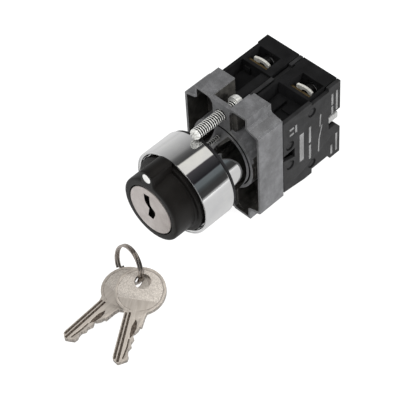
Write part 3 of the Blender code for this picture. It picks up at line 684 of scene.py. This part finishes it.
def detail_cad(node, material, width, edge_material=None, segments=2):
    """A copy of a CAD node with its flat faces merged and its edges rounded, in its place."""
    source = frame["nodes"][node]
    mesh = source.data.copy()
    mesh.materials.clear()
    work = bmesh.new()
    work.from_mesh(mesh)
    bmesh.ops.remove_doubles(work, verts=work.verts, dist=0.000002)
    bmesh.ops.dissolve_limit(work, angle_limit=math.radians(1.0), verts=work.verts, edges=work.edges)
    bmesh.ops.translate(work, vec=-ORIGIN, verts=work.verts)
    bmesh.ops.scale(work, vec=(1.0 / MM,) * 3, verts=work.verts)
    work.to_mesh(mesh)
    work.free()
    smooth_faces(mesh)
    names = [material] if edge_material is None else [material, edge_material]
    piece = add_piece(f"{node}_detail", mesh, names, source["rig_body"], (node,))
    soften(piece, width, segments, None if edge_material is None else 1)
    return piece


# ---- Head ----

def make_bezel():
    """Chromed ring: a thin rolled lip in front, a deep mouth, and a web that sits on the neck."""
    web_front = FLANGE_FRONT + 3.0
    lip = BEZEL_R - BEZEL_LIP
    web_r = NECK_R + NECK_CLEARANCE
    profile = bend([
        (BEZEL_R, BEZEL_REAR, 0.25), (BEZEL_R, BEZEL_FRONT, 0.38), (lip, BEZEL_FRONT, 0.12),
        (lip - 0.05, BEZEL_FRONT + 0.4, 0.05), (lip - 0.22, BEZEL_FRONT + 0.4, 0.05),
        (lip - 0.27, BEZEL_FRONT + 0.1, 0.1), (BEZEL_MOUTH_R, BEZEL_FRONT + 0.3, 0.2),
        (BEZEL_MOUTH_R, web_front, 0.1), (web_r, web_front, 0.1), (web_r, BEZEL_REAR, 0.1),
    ])
    add_piece("bezel", turned_mesh("bezel", profile, 192), "chrome", ROOT, ("bezel_ring",))


def make_neck():
    """The head's casting: the neck through the panel, its front flange, and a stepped bore."""
    flange_rear = FLANGE_FRONT + FLANGE_THICK
    flange_r = BEZEL_MOUTH_R - NECK_CLEARANCE
    step_front, step_rear = BORE_STEP_Y
    profile = bend([
        (NECK_R, NECK_REAR, 0.5), (NECK_R, flange_rear, 0.1), (flange_r, flange_rear, 0.1),
        (flange_r, FLANGE_FRONT, 0.15), (BORE_R, FLANGE_FRONT, 0.2), (BORE_R, step_front, 0.05),
        (BORE_STEP_R, step_front, 0.05), (BORE_STEP_R, step_rear, 0.05), (BORE_R, step_rear, 0.05),
        (BORE_R, NECK_REAR, 0.1),
    ])
    add_piece("neck", turned_mesh("neck", profile, 160), "chrome", ROOT, ("head_body",))


def make_gasket():
    """Rubber ring behind the bezel, which seals it to the panel."""
    front = BEZEL_REAR + 0.3
    inner = NECK_R + NECK_CLEARANCE
    profile = bend([
        (GASKET_R, GASKET_REAR, 0.25), (GASKET_R, front, 0.25), (inner, front, 0.1),
        (inner, GASKET_REAR, 0.1),
    ])
    add_piece("gasket", turned_mesh("gasket", profile), "rubber", ROOT,
              ("mounting_gasket",))


def make_seal():
    """Rubber ring between the knob's flange and the head's."""
    profile = arc((SEAL_R, FLANGE_FRONT - 1.15), SEAL_WIRE_R, 0.0, 345.0, 24)
    add_piece("seal", turned_mesh("seal", profile, 96), "rubber", ROOT, ("shaft_seal",))


def lean(mesh):
    """Lean a mesh about the head's axis, as the knob stands a little to the left of upright."""
    mesh.transform(Matrix.Rotation(math.radians(LOBE_LEAN), 4, "Y"))
    return mesh


def make_lobe(knob):
    """Pointer lobe: a bar with a round crown, fused to the knob's side, and its dot's seat."""
    reach = math.degrees(math.acos(LOBE_HALF_W / LOBE_CROWN_R))
    foot = KNOB_GAP_R + 1.0
    outline = arc((0.0, LOBE_TOP_R - LOBE_CROWN_R), LOBE_CROWN_R, reach, 180.0 - reach, 13)
    outline += [(-LOBE_HALF_W, foot), (LOBE_HALF_W, foot)]
    mesh = lean(prism_mesh("lobe", "front", outline, KNOB_FRONT + 0.05, LOBE_REAR))
    lobe = add_cutter("lobe", mesh, knob, operation="UNION")
    soften(lobe, 0.5, 4, degrees=50.0)
    seat_r = DOT_R + 0.12
    front, floor = KNOB_FRONT - 1.0, KNOB_FRONT + 0.3
    profile = [(0.0, front), (seat_r, front), (seat_r, floor), (0.0, floor)]
    seat = lean(turned_mesh("dot_seat", profile, 48, (0.0, DOT_Z), closed=False))
    return lobe, add_cutter("dot_seat", seat, knob)


def make_knob():
    """Black rotor: a cup with a rounded front edge and a pointer lobe, its flange, and its sleeve."""
    flange_front, flange_rear = KNOB_FLANGE_Y
    seat = KNOB_FRONT + FACE_SEAT
    profile = bend([
        (SLEEVE_R, SLEEVE_REAR, 0.1), (SLEEVE_R, flange_rear, 0.1), (KNOB_FLANGE_R, flange_rear, 0.2),
        (KNOB_FLANGE_R, flange_front, 0.7), (KNOB_R + 0.25, flange_front, 0.3),
        (KNOB_R, flange_front - 0.5, 0.1), (KNOB_R, KNOB_FRONT + 1.2, 0.2), (KNOB_R - 0.12, KNOB_FRONT, 1.1),
        (KNOB_GAP_R, KNOB_FRONT, 0.18), (KNOB_GAP_R, seat, 0.1), (SLEEVE_BORE_R, seat, 0.1),
        (SLEEVE_BORE_R, SLEEVE_REAR, 0.1),
    ], 6)
    mesh = turned_mesh("knob", profile, 200)
    knob = add_piece("knob", mesh, "knob", "rotor", ("selector_knob",))
    settle(knob, *make_lobe(knob), degrees=28.0)


def make_pointer_dot():
    """White disc, sunk a little in the lobe's front."""
    face = KNOB_FRONT + 0.1
    rear = face + 0.8
    profile = bend([(0.0, face, 0.0), (DOT_R, face, 0.12), (DOT_R, rear, 0.1), (0.0, rear, 0.0)])
    mesh = lean(turned_mesh("pointer", profile, 48, (0.0, DOT_Z), closed=False))
    add_piece("pointer", mesh, "white", "rotor", ("pointer_dot",))


def keyway_outline():
    """The keyway's cranked section: a broad head, a slanted waist, and a foot to the right."""
    return [
        (-2.2, 5.7), (0.2, 6.0), (0.1, 4.4), (0.2, 2.6), (0.9, 1.6), (2.1, 0.6), (2.1, -0.7), (1.0, -3.2),
        (-1.0, -2.9), (-0.3, 0.7), (-1.3, 1.6), (-2.0, 2.8),
    ]


def make_lock():
    """The plug: turned face with a bevelled rim, cut through by the cranked keyway, whose walls are painted
    shade in a near-black steel.
    """
    seat = KNOB_FRONT + 1.5
    profile = bend([
        (0.0, LOCK_FACE, 0.0), (LOCK_FACE_R, LOCK_FACE, 0.25), (LOCK_FACE_R, seat, 0.1),
        (LOCK_BARREL_R, seat, 0.1), (LOCK_BARREL_R, LOCK_BARREL_REAR, 0.1),
        (LOCK_TAIL_R, LOCK_BARREL_REAR, 0.1), (LOCK_TAIL_R, LOCK_TAIL_REAR, 0.1),
        (LOCK_STUB_R, LOCK_TAIL_REAR, 0.1), (LOCK_STUB_R, LOCK_STUB_REAR, 0.1), (0.0, LOCK_STUB_REAR, 0.0),
    ])
    mesh = turned_mesh("lock", profile, 128, closed=False)
    plug = add_piece("lock", mesh, ["lock", "shade_steel"], "rotor", ("lock_plug",))
    keyway = prism_mesh("keyway", "front", keyway_outline(), KNOB_FRONT - 1.0, -11.0)
    settle(plug, add_cutter("keyway_cutter", keyway, plug, 1))
    make_wards()


def make_wards():
    """Plates in the keyway's head and foot, one pair behind another."""
    upper = [(-2.1, 5.5), (0.05, 5.75), (0.0, 4.6), (-2.05, 4.3)]
    lower = [(-0.75, -1.6), (1.6, -1.5), (1.0, -3.0), (-0.9, -2.8)]
    for i in range(WARD_COUNT):
        y = KNOB_FRONT + WARD_FIRST + WARD_PITCH * i
        for label, outline, material in (("upper", upper, "brass"), ("lower", lower, "steel")):
            name = f"ward_{label}_{i + 1}"
            plate = prism_mesh(name, "front", outline, y, y + WARD_THICK)
            add_piece(name, plate, material, "rotor")


# ---- Collar and screws ----

def make_collar():
    """The collar, with painted shade on the faces of its hollows and round its bore, in a near-black zinc.
    """
    collar = detail_cad("mounting_collar", "zinc", 0.28, "worn_zinc", 3)
    # The third slot is painted shade, for the faces inside the hollows.
    collar.data.materials.append(MATERIALS["hollow_shade_zinc"])
    for polygon in collar.data.polygons:
        if takes_hollow_shade(polygon):
            polygon.material_index = 2


def takes_hollow_shade(polygon):
    """Whether a face of the collar lies inside its hollows or round its bore, where the painted shade goes.
    """
    x, y, z = polygon.center / MM
    if not HOLLOW_Y[0] < y < HOLLOW_Y[1] or abs(x) > COLLAR_HALF_W - COLLAR_SKIN:
        return False
    if abs(z) > HORN_FOOT_Z:
        return HORN_X[0] < abs(x) < HORN_X[1] and abs(z) < HORN_TOP - 0.3 and y < HORN_REAR
    faces_outward = 0.3
    return polygon.normal.z * z <= faces_outward * abs(z)


def thread_warp(radius, y, angle):
    """Cut a helical thread in the shank, which runs out towards the point."""
    if radius < 0.9 * SCREW_R or y > SCREW_HEAD_Y[0] - 0.1:
        return radius, y
    turn = (y / THREAD_PITCH - angle / (2.0 * math.pi)) % 1.0
    flank_steepness = 2.4
    valley = min(flank_steepness * min(turn, 1.0 - turn), 1.0)
    run_out = 0.8
    fade = min(max((y - SCREW_TIP - POINT_LENGTH) / run_out, 0.0), 1.0)
    return radius - THREAD_DEPTH * (1.0 - valley) * fade, y


def screw_warp(radius, y, angle):
    """The shank's thread, and teeth in the rim of its cup point."""
    r, v = thread_warp(radius, y, angle)
    tooth_depth = 0.45
    if y < SCREW_TIP + 0.25 and 0.9 < radius < 1.6:
        v += tooth_depth * (0.5 + 0.5 * math.cos(POINT_TEETH * angle))
    return r, v


def shade_thread_valleys(mesh, centre):
    """Give the thread's valleys the second material, a near-black steel that is painted shade."""
    limit = SCREW_R - 0.3 * THREAD_DEPTH
    for polygon in mesh.polygons:
        x, y, z = polygon.center
        radius = math.hypot(x - centre[0], z - centre[1])
        if SCREW_TIP + 1.2 < y < SCREW_HEAD_Y[0] - 0.1 and radius < limit:
            polygon.material_index = 1


def make_fixing_screw(end, sign):
    """A fixing screw: pan head with a cross recess, threaded shank, and a toothed cup point."""
    seat, top = SCREW_HEAD_Y
    shank = []
    y = seat - 0.05
    while y > SCREW_TIP + POINT_LENGTH:
        shank.append((SCREW_R, y))
        y -= THREAD_PITCH / 8.0
    point = [
        (SCREW_R, SCREW_TIP + 0.8), (1.45, SCREW_TIP + 0.1), (1.25, SCREW_TIP), (1.05, SCREW_TIP + 0.1),
        (0.75, SCREW_TIP + 0.7), (0.0, SCREW_TIP + 0.95),
    ]
    head = bend([
        (0.0, top, 0.0), (SCREW_HEAD_R - 0.5, top, 0.5), (SCREW_HEAD_R, top - 0.8, 0.4),
        (SCREW_HEAD_R, seat, 0.15),
    ])
    centre = (0.0, sign * SCREW_Z)
    mesh = turned_mesh(f"{end}_screw", head + shank + point, 64, centre, screw_warp, closed=False)
    shade_thread_valleys(mesh, centre)
    screw = add_piece(f"{end}_screw", mesh, ["screw", "valley"], f"screw_{end}",
                      (f"fixing_screw_{end}",))
    cut_cross(screw, centre, 1.6, (top - 0.9, top + 1.0), 50.0)


def cut_cross(screw, centre, reach, y_span, degrees=35.0):
    """Cut a cross recess in a screw's head, its walls in the screw's second material, which is painted
    shade.
    """
    cutters = []
    for half_x, half_z in ((reach, CROSS_HALF_W), (CROSS_HALF_W, reach)):
        arm = box_mesh("cross_arm", (centre[0] - half_x, centre[0] + half_x), y_span,
                       (centre[1] - half_z, centre[1] + half_z))
        cutters.append(add_cutter("cross_arm", arm, screw, 1))
    settle(screw, *cutters, degrees=degrees)


# ---- Contact blocks ----

def make_block(side, centre):
    """One contact block: its moulded body and cover, its plunger, and its contacts and terminals."""
    detail_cad(f"{side}_housing", "block", 0.16)
    make_cover(side, centre)
    detail_cad(f"{side}_plunger", "plunger", 0.3)
    detail_cad(f"{side}_contact_bridge", "brass", 0.08)
    for level, sign in LEVELS:
        detail_cad(f"{side}_{level}_terminal", "dim_brass", 0.08)
        make_clamp(side, level, sign, centre)
        make_pocket_lip(side, level, sign, centre)
        make_terminal_screw(side, level, sign, centre)
    make_bar_end(side, centre)
    make_rivets(side, centre)


def make_cover(side, centre):
    """The block's side plate, hollowed behind its face so that the plunger's bar can slide there."""
    cover = detail_cad(f"{side}_cover", "cover", 0.0)
    low, high = BAR_END_Z
    hollow = box_mesh("bar_hollow", (centre + 6.0, centre + BAR_END_X + BAR_CLEARANCE / 2.0),
                      BAR_HOLLOW_Y, (low - BAR_CLEARANCE, high + BAR_CLEARANCE))
    settle(cover, add_cutter("bar_hollow", hollow, cover))
    soften(cover, 0.14)


def make_bar_end(side, centre):
    """The end of the plunger's bar, which shows in the notch at the block's rear."""
    mesh = box_mesh(f"{side}_bar_end", (centre + 3.0, centre + BAR_END_X), BAR_END_Y, BAR_END_Z)
    bar = add_piece(f"{side}_bar_tip", mesh, "plunger", f"{side}_contact")
    soften(bar, 0.35, 3)


def make_clamp(side, level, sign, centre):
    """Saddle clamp: a thick plate with a hole for its screw, its middle bowed away from the wires."""
    middle = centre + TERMINAL_SHIFT[side]
    steps = 24
    front, rear = [], []
    for i in range(steps + 1):
        share = 2.0 * i / steps - 1.0
        x = middle + CLAMP_HALF_W * share
        bow = CLAMP_BOW * (1.0 - share * share)
        front.append((x, CLAMP_Y[0] + bow))
        rear.append((x, CLAMP_Y[1] + bow))
    low, high = sorted(sign * z for z in CLAMP_Z)
    mesh = prism_mesh(f"{side}_{level}_clamp", "flat", front + rear[::-1], low, high)
    clamp = add_piece(f"{side}_{level}_saddle", mesh, "clamp", f"{side}_{level}_clamp",
                      (f"{side}_{level}_wire_clamp",))
    profile = [(0.0, 24.0), (CLAMP_HOLE_R, 24.0), (CLAMP_HOLE_R, 29.0), (0.0, 29.0)]
    hole = turned_mesh("clamp_hole", profile, 32, (middle, sign * TERMINAL_Z), closed=False)
    settle(clamp, add_cutter("clamp_hole", hole, clamp))
    soften(clamp, 0.15)


def make_pocket_lip(side, level, sign, centre):
    """The raised edge of a terminal's pocket, in front of its clamp."""
    middle = centre + TERMINAL_SHIFT[side]
    name = f"{side}_{level}_lip"
    mesh = box_mesh(name, (middle - POCKET_LIP_HALF_W, middle + POCKET_LIP_HALF_W), POCKET_LIP_Y,
                    sorted(sign * z for z in POCKET_LIP_Z))
    soften(add_piece(name, mesh, "block", ROOT), 0.15)


def make_well_details():
    """Shapes moulded in the open wells: a shelf and a boss in the left one, a slab in the right."""
    details = (
        ("left_shelf", (-5.2, -1.9), (10.9, 22.7), (WELL_FLOOR + 0.05, 13.7)),
        ("left_boss", (-12.0, -9.6), (22.0, 22.75), (10.4, 12.8)),
        ("left_boss_face", (-11.4, -10.2), (21.8, 22.1), (11.0, 12.2)),
        ("right_slab", (3.3, 6.4), (10.9, 21.2), (WELL_FLOOR + 0.05, 10.9)),
        ("right_ledge", (7.2, 11.6), (17.8, 22.7), (WELL_FLOOR + 0.05, 10.4)),
    )
    for name, x_span, y_span, z_span in details:
        piece = add_piece(name, box_mesh(name, x_span, y_span, z_span), "block", ROOT)
        soften(piece, 0.2)


def make_terminal_screw(side, level, sign, centre):
    """Terminal screw, with painted shade: the top of its head bright, and all below it near-black, for the
    shade of its pocket.
    """
    node = f"{side}_{level}_terminal_screw"
    axis = (centre + TERMINAL_SHIFT[side], sign * TERMINAL_Z)
    seat, top = PAN_HEAD_Y
    profile = bend([
        (0.0, SHANK_TIP, 0.0), (SHANK_R - 0.3, SHANK_TIP, 0.2), (SHANK_R, SHANK_TIP + 0.4, 0.2),
        (SHANK_R, seat, 0.1), (PAN_HEAD_R, seat, 0.2), (PAN_HEAD_R, top - 0.5, 0.5),
        (PAN_HEAD_R - 0.6, top, 0.3), (0.0, top, 0.0),
    ])
    mesh = turned_mesh(node, profile, 48, axis, closed=False)
    # Painted shade: only the top of the head is bright, and all below it is near-black.
    for polygon in mesh.polygons:
        polygon.material_index = 0 if polygon.center.y > top - 0.2 else 1
    screw = add_piece(f"{node}_detail", mesh, ["clamp", "shade_steel"], f"{side}_{level}_clamp",
                      (node,))
    cut_cross(screw, axis, 1.5, (top - 0.9, top + 0.9))


def make_rivets(side, centre):
    """Painted shade in the cover's round recesses: a near-black disc on each floor, half hidden by a moulded
    pad so that a crescent of it shows.
    """
    face = centre + COVER_FACE
    floor = face - RECESS_DEPTH
    for i, (y, z) in enumerate(RIVETS):
        # A near-black disc on each recess floor is painted shade.
        rivet = arc((y, z), RIVET_R, 0.0, 350.0, 36)
        mesh = prism_mesh(f"{side}_rivet_{i + 1}", "side", rivet, floor - 0.02, floor + 0.25)
        soften(add_piece(f"{side}_recess_shade_disc_{i + 1}", mesh, "rubber", ROOT), 0.1)
        pad = arc((y + PAD_SHIFT[0], z + PAD_SHIFT[1]), PAD_R, 0.0, 350.0, 36)
        mesh = prism_mesh(f"{side}_pad_{i + 1}", "side", pad, floor, face - 0.05)
        soften(add_piece(f"{side}_rivet_pad_{i + 1}", mesh, "cover", ROOT), 0.12, 3)


def make_print(centre):
    """Generic white marks on the outer cover: plain bars in place of text, and a contact symbol."""
    face = centre + COVER_FACE
    bars = []
    for (y0, y1), spans in PRINT_ROWS:
        bars += [[(y0, z0), (y1, z0), (y1, z1), (y0, z1)] for z0, z1 in spans]
    lines = [stroke(start, end, PRINT_STROKE_W) for start, end in PRINT_STROKES]
    for kind, outlines in (("bar", bars), ("line", lines)):
        for i, outline in enumerate(outlines):
            name = f"print_{kind}_{i + 1}"
            mesh = prism_mesh(name, "side", outline, face - 0.02, face + 0.015)
            add_piece(name, mesh, "print", ROOT)


def stroke(start, end, width):
    """A line's outline, between two points."""
    along = (Vector(end) - Vector(start)).normalized()
    across = Vector((-along.y, along.x)) * width / 2.0
    corners = (Vector(start) + across, Vector(start) - across, Vector(end) - across, Vector(end) + across)
    return [tuple(corner) for corner in corners]


# ---- Keys ----

def key_outline():
    """Round bow, stepped shoulder and cut blade, from the ring hole with X along the blade."""
    cuts = [
        (14.4, 3.1), (14.5, 2.5), (15.5, 2.3), (17.2, 1.15), (18.4, 1.75), (19.9, 1.15),
        (20.8, 1.55), (22.1, 0.85), (23.2, 1.0), (24.0, 1.45), (25.3, 1.35),
    ]
    tip = [(26.2, -0.1), (KEY_LENGTH, -1.2), (25.8, -2.7), (25.0, -3.0)]
    neck = math.degrees(math.asin(KEY_NECK_HALF_W / KEY_BOW_R))
    bow = arc((KEY_BOW_X, 0.0), KEY_BOW_R, -neck, -360.0 + neck, 72)
    return cuts + tip + [(11.2, -3.0)] + bow + [(11.0, 3.3), (12.6, 3.2)]


def key_matrix(label):
    """Where a key lies: its hole's place, the way its blade points, and how far the tip droops."""
    pose = KEY_POSES[label]
    heading = Matrix.Rotation(math.radians(pose["heading"]), 4, "Z")
    droop = Matrix.Rotation(math.radians(pose["droop"]), 4, "Y")
    return Matrix.Translation(Vector(pose["hole"]) * MM) @ heading @ droop


def make_key(label):
    """A pressed key: raised rim round a stippled bow, ring hole, and grooves along the blade."""
    half = KEY_THICK / 2.0
    mesh = prism_mesh(f"{label}_key", "flat", key_outline(), -half, half)
    edge = KEY_LOOKS.index("key_edge")
    for polygon in mesh.polygons:
        polygon.material_index = edge if abs(polygon.normal.z) < 0.5 else 0
    key = add_piece(f"{label}_key", mesh, KEY_LOOKS, f"{label}_key", (f"key_{label}",))
    hole = prism_mesh("hole", "flat", arc((0.0, 0.0), KEY_HOLE_R, 0.0, 352.5, 48), -3.0, 3.0)
    cutters = [add_cutter("hole", hole, key, edge)]
    for face in (-1, 1):
        for outline, depth, look in key_hollows():
            near, far = sorted((face * (half - depth), face * (half + 1.0)))
            hollow = prism_mesh("hollow", "flat", outline, near, far)
            cutters.append(add_cutter("hollow", hollow, key, KEY_LOOKS.index(look)))
    soften(key, 0.07, 2)
    settle(key, *cutters, degrees=30.0)
    own = key.data.attributes.new(KEY_PLACE, "FLOAT_VECTOR", "POINT")
    for vertex, item in zip(key.data.vertices, own.data):
        item.vector = vertex.co / MM
    key.data.transform(key_matrix(label))


def key_hollows():
    """Each sunken shape of a key's face: its outline, its depth, and its look."""
    rim = KEY_BOW_R - KEY_RIM
    centre = (KEY_BOW_X, 0.0)
    dish = arc(centre, rim, 63.0, 297.0, 72)
    # The thin trench round the dish takes the painted shadow line.
    line = arc(centre, rim + 0.12, 12.0, 348.0, 72) + arc(centre, rim - 0.12, 348.0, 12.0, 72)
    leaf = [
        (12.4, 0.9), (13.4, 1.55), (15.2, 1.75), (17.2, 1.35), (18.6, 0.55), (17.2, 0.25), (14.8, 0.2),
    ]
    step = [(18.8, 0.2), (21.6, 0.2), (25.2, -0.2), (25.2, 0.25), (21.6, 0.65), (18.8, 0.6)]
    outer_groove = [(10.6, -2.68), (25.6, -2.68), (25.6, -1.98), (10.6, -2.02)]
    inner_groove = [(10.4, -1.62), (26.4, -1.62), (26.4, -0.84), (10.4, -0.94)]
    return (
        (dish, 0.10, "stipple"), (line, 0.14, "rim_shadow_line"), (leaf, 0.30, "groove"), (step, 0.22, "groove"),
        (outer_groove, 0.28, "groove"), (inner_groove, 0.28, "groove"),
    )


# ---- Ring and springs ----

def wire_mesh(points, radius, resolution=4):
    """Round wire along a line of points, its ends closed."""
    curve = bpy.data.curves.new("wire", "CURVE")
    curve.dimensions = "3D"
    curve.bevel_depth = radius
    curve.bevel_resolution = resolution
    curve.use_fill_caps = True
    spline = curve.splines.new("POLY")
    spline.points.add(len(points) - 1)
    for point, place in zip(spline.points, points):
        point.co = (*place, 1.0)
    wire = new_object("wire", curve)
    bpy.context.view_layer.update()
    evaluated = wire.evaluated_get(bpy.context.evaluated_depsgraph_get())
    mesh = bpy.data.meshes.new_from_object(evaluated)
    bpy.data.objects.remove(wire)
    mesh.materials.clear()
    smooth_faces(mesh, 60.0)
    return mesh


def helix(start, end, radius, turns, steps):
    """Points wound round the line from start to end, with a number of steps in each turn."""
    start, end = Vector(start), Vector(end)
    along = end - start
    side = along.orthogonal().normalized()
    other = along.cross(side).normalized()
    points = []
    for i in range(turns * steps + 1):
        angle = 2.0 * math.pi * i / steps
        outward = side * math.cos(angle) + other * math.sin(angle)
        points.append(start + along * i / (turns * steps) + outward * radius)
    return points


def make_ring():
    """Split ring: two turns of round wire lying side by side, with free ends."""
    middle = Vector(RING_CENTRE)
    half = Vector(RING_NORMAL).normalized() * (RING_WIRE_R + 0.05) * RING_TURNS
    points = helix(middle - half, middle + half, RING_R, RING_TURNS, 72)
    add_piece("split_ring", wire_mesh(points, RING_WIRE_R, 5), "steel", "key_set",
              ("key_ring",))


def make_spring(node, seat, tip, coil_r, wire_r, turns):
    """Coil spring between a fixed seat and the piece on its tip."""
    mesh = wire_mesh(helix(seat, tip, coil_r, turns, COIL_STEPS), wire_r)
    mesh.transform(Matrix.Translation(ORIGIN) @ Matrix.Scale(MM, 4))
    mesh.materials.append(MATERIALS["spring"])
    spring = new_object(f"{node}_coil", mesh)
    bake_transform(spring)
    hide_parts(node)


def make_springs():
    """The plungers' return springs, and the small one behind the detent pin."""
    seat, tip = RETURN_SPRING_Y
    for side, centre in BLOCKS:
        make_spring(f"{side}_return_spring", (centre, seat, 0.0), (centre, tip, 0.0), 2.2, 0.22, 4)
    seat, tip = DETENT_SPRING_Z
    make_spring("detent_spring", (0.0, DETENT_Y, seat), (0.0, DETENT_Y, tip), 0.75, 0.14, 3)


# ---- Hidden pieces, stage, lights and camera ----

def dress_hidden_nodes():
    """Materials for the small inner pieces that keep their CAD shape."""
    dressed = {"lock_circlip": "steel", "detent_pin": "steel", "cam_drum": "ivory"}
    for i in range(WAFER_COUNT):
        dressed[f"lock_wafer_{i + 1}"] = "brass"
    for node, material in dressed.items():
        mesh = frame["nodes"][node].data
        mesh.materials.clear()
        mesh.materials.append(MATERIALS[material])


def make_floor():
    """White paper. Mirrors see it greyer than the camera does, and brightest to the left."""
    span = (-FLOOR_HALF_W, FLOOR_HALF_W)
    mesh = box_mesh("floor", span, span, (-FLOOR_THICK, 0.0))
    mesh.transform(Matrix.Scale(MM, 4))
    floor = new_object("floor", mesh)
    material, tree, surface, place = new_shader("white_paper")
    fibre = noise(tree, place, 0.02, 4.0)
    tree.links.new(ramp(tree, fibre, ((0.3, 0.17), (0.7, 0.19))), surface.inputs["Base Color"])
    surface.inputs["Roughness"].default_value = 0.9
    surface.inputs["Specular IOR Level"].default_value = 0.0
    split = tree.nodes.new("ShaderNodeSeparateXYZ")
    tree.links.new(place, split.inputs[0])
    across = spread(tree, split.outputs["X"], 0.0, 1.0, -FLOOR_SEEN_HALF_W, FLOOR_SEEN_HALF_W)
    glow = glossy_mix(tree, FLOOR_GLOW, ramp(tree, across, FLOOR_SEEN))
    tree.links.new(glow, surface.inputs["Emission Color"])
    surface.inputs["Emission Strength"].default_value = 1.0
    mesh.materials.append(material)


def make_studio():
    """Even white light, which mirrors see as a dark room with one long softbox overhead."""
    world = bpy.data.worlds.new("studio")
    bpy.context.scene.world = world
    world.use_nodes = True
    tree = world.node_tree
    background = tree.nodes["Background"]
    coordinates = tree.nodes.new("ShaderNodeTexCoord")
    split = tree.nodes.new("ShaderNodeSeparateXYZ")
    tree.links.new(coordinates.outputs["Generated"], split.inputs[0])
    angle = math_node(tree, "ARCTAN2", split.outputs["X"], split.outputs["Z"])
    turn = spread(tree, angle, 0.0, 1.0, -math.pi, math.pi)
    room = ramp(tree, turn, [((degrees + 180.0) / 360.0, light) for degrees, light in STUDIO_SEEN])
    tree.links.new(glossy_mix(tree, STUDIO_LIGHT, room), background.inputs["Color"])
    background.inputs["Strength"].default_value = 1.0


def make_light(name, place, size, watts):
    """A square area light aimed at the switch, which mirrors do not see."""
    data = bpy.data.lights.new(name, "AREA")
    data.size = size * MM
    data.energy = watts
    light = new_object(name, data)
    light.location = ORIGIN + Vector(place) * MM
    light.rotation_euler = (-Vector(place)).to_track_quat("-Z", "Y").to_euler()
    light.visible_glossy = False
    light.visible_camera = False


def make_camera():
    """Where the photograph was taken from, with its roll and its aim off the switch's middle."""
    right = Vector((math.cos(AZIMUTH), math.sin(AZIMUTH), 0.0))
    forward = Vector((-math.sin(AZIMUTH) * math.cos(ELEVATION), math.cos(AZIMUTH) * math.cos(ELEVATION),
                      -math.sin(ELEVATION)))
    up = right.cross(forward)
    tilted = right * math.cos(ROLL) + up * math.sin(ROLL)
    raised = up * math.cos(ROLL) - right * math.sin(ROLL)
    data = bpy.data.cameras.new("camera")
    data.lens = LENS
    data.sensor_width = SENSOR
    data.clip_start = 0.01
    data.clip_end = 10.0
    camera = new_object("camera", data)
    place = ORIGIN + (tilted * AIM_RIGHT + raised * AIM_UP - forward * DISTANCE) * MM
    rotation = Matrix((tilted, raised, -forward)).transposed().to_4x4()
    camera.matrix_world = Matrix.Translation(place) @ rotation
    bpy.context.scene.camera = camera


make_camera()
make_studio()
make_floor()
make_light("key_light", (110.0, -220.0, 430.0), 200.0, 2.0)
make_light("side_light", (380.0, 120.0, 150.0), 120.0, 2.05)
bpy.context.scene.view_settings.view_transform = "Standard"

make_bezel()
make_neck()
make_gasket()
make_seal()
make_knob()
make_pointer_dot()
make_lock()
make_collar()
for end, sign in (("top", 1), ("bottom", -1)):
    make_fixing_screw(end, sign)
for side, centre in BLOCKS:
    make_block(side, centre)
make_well_details()
make_key("front")
make_key("rear")
make_print(BLOCKS[1][1])
make_ring()
make_springs()
dress_hidden_nodes()
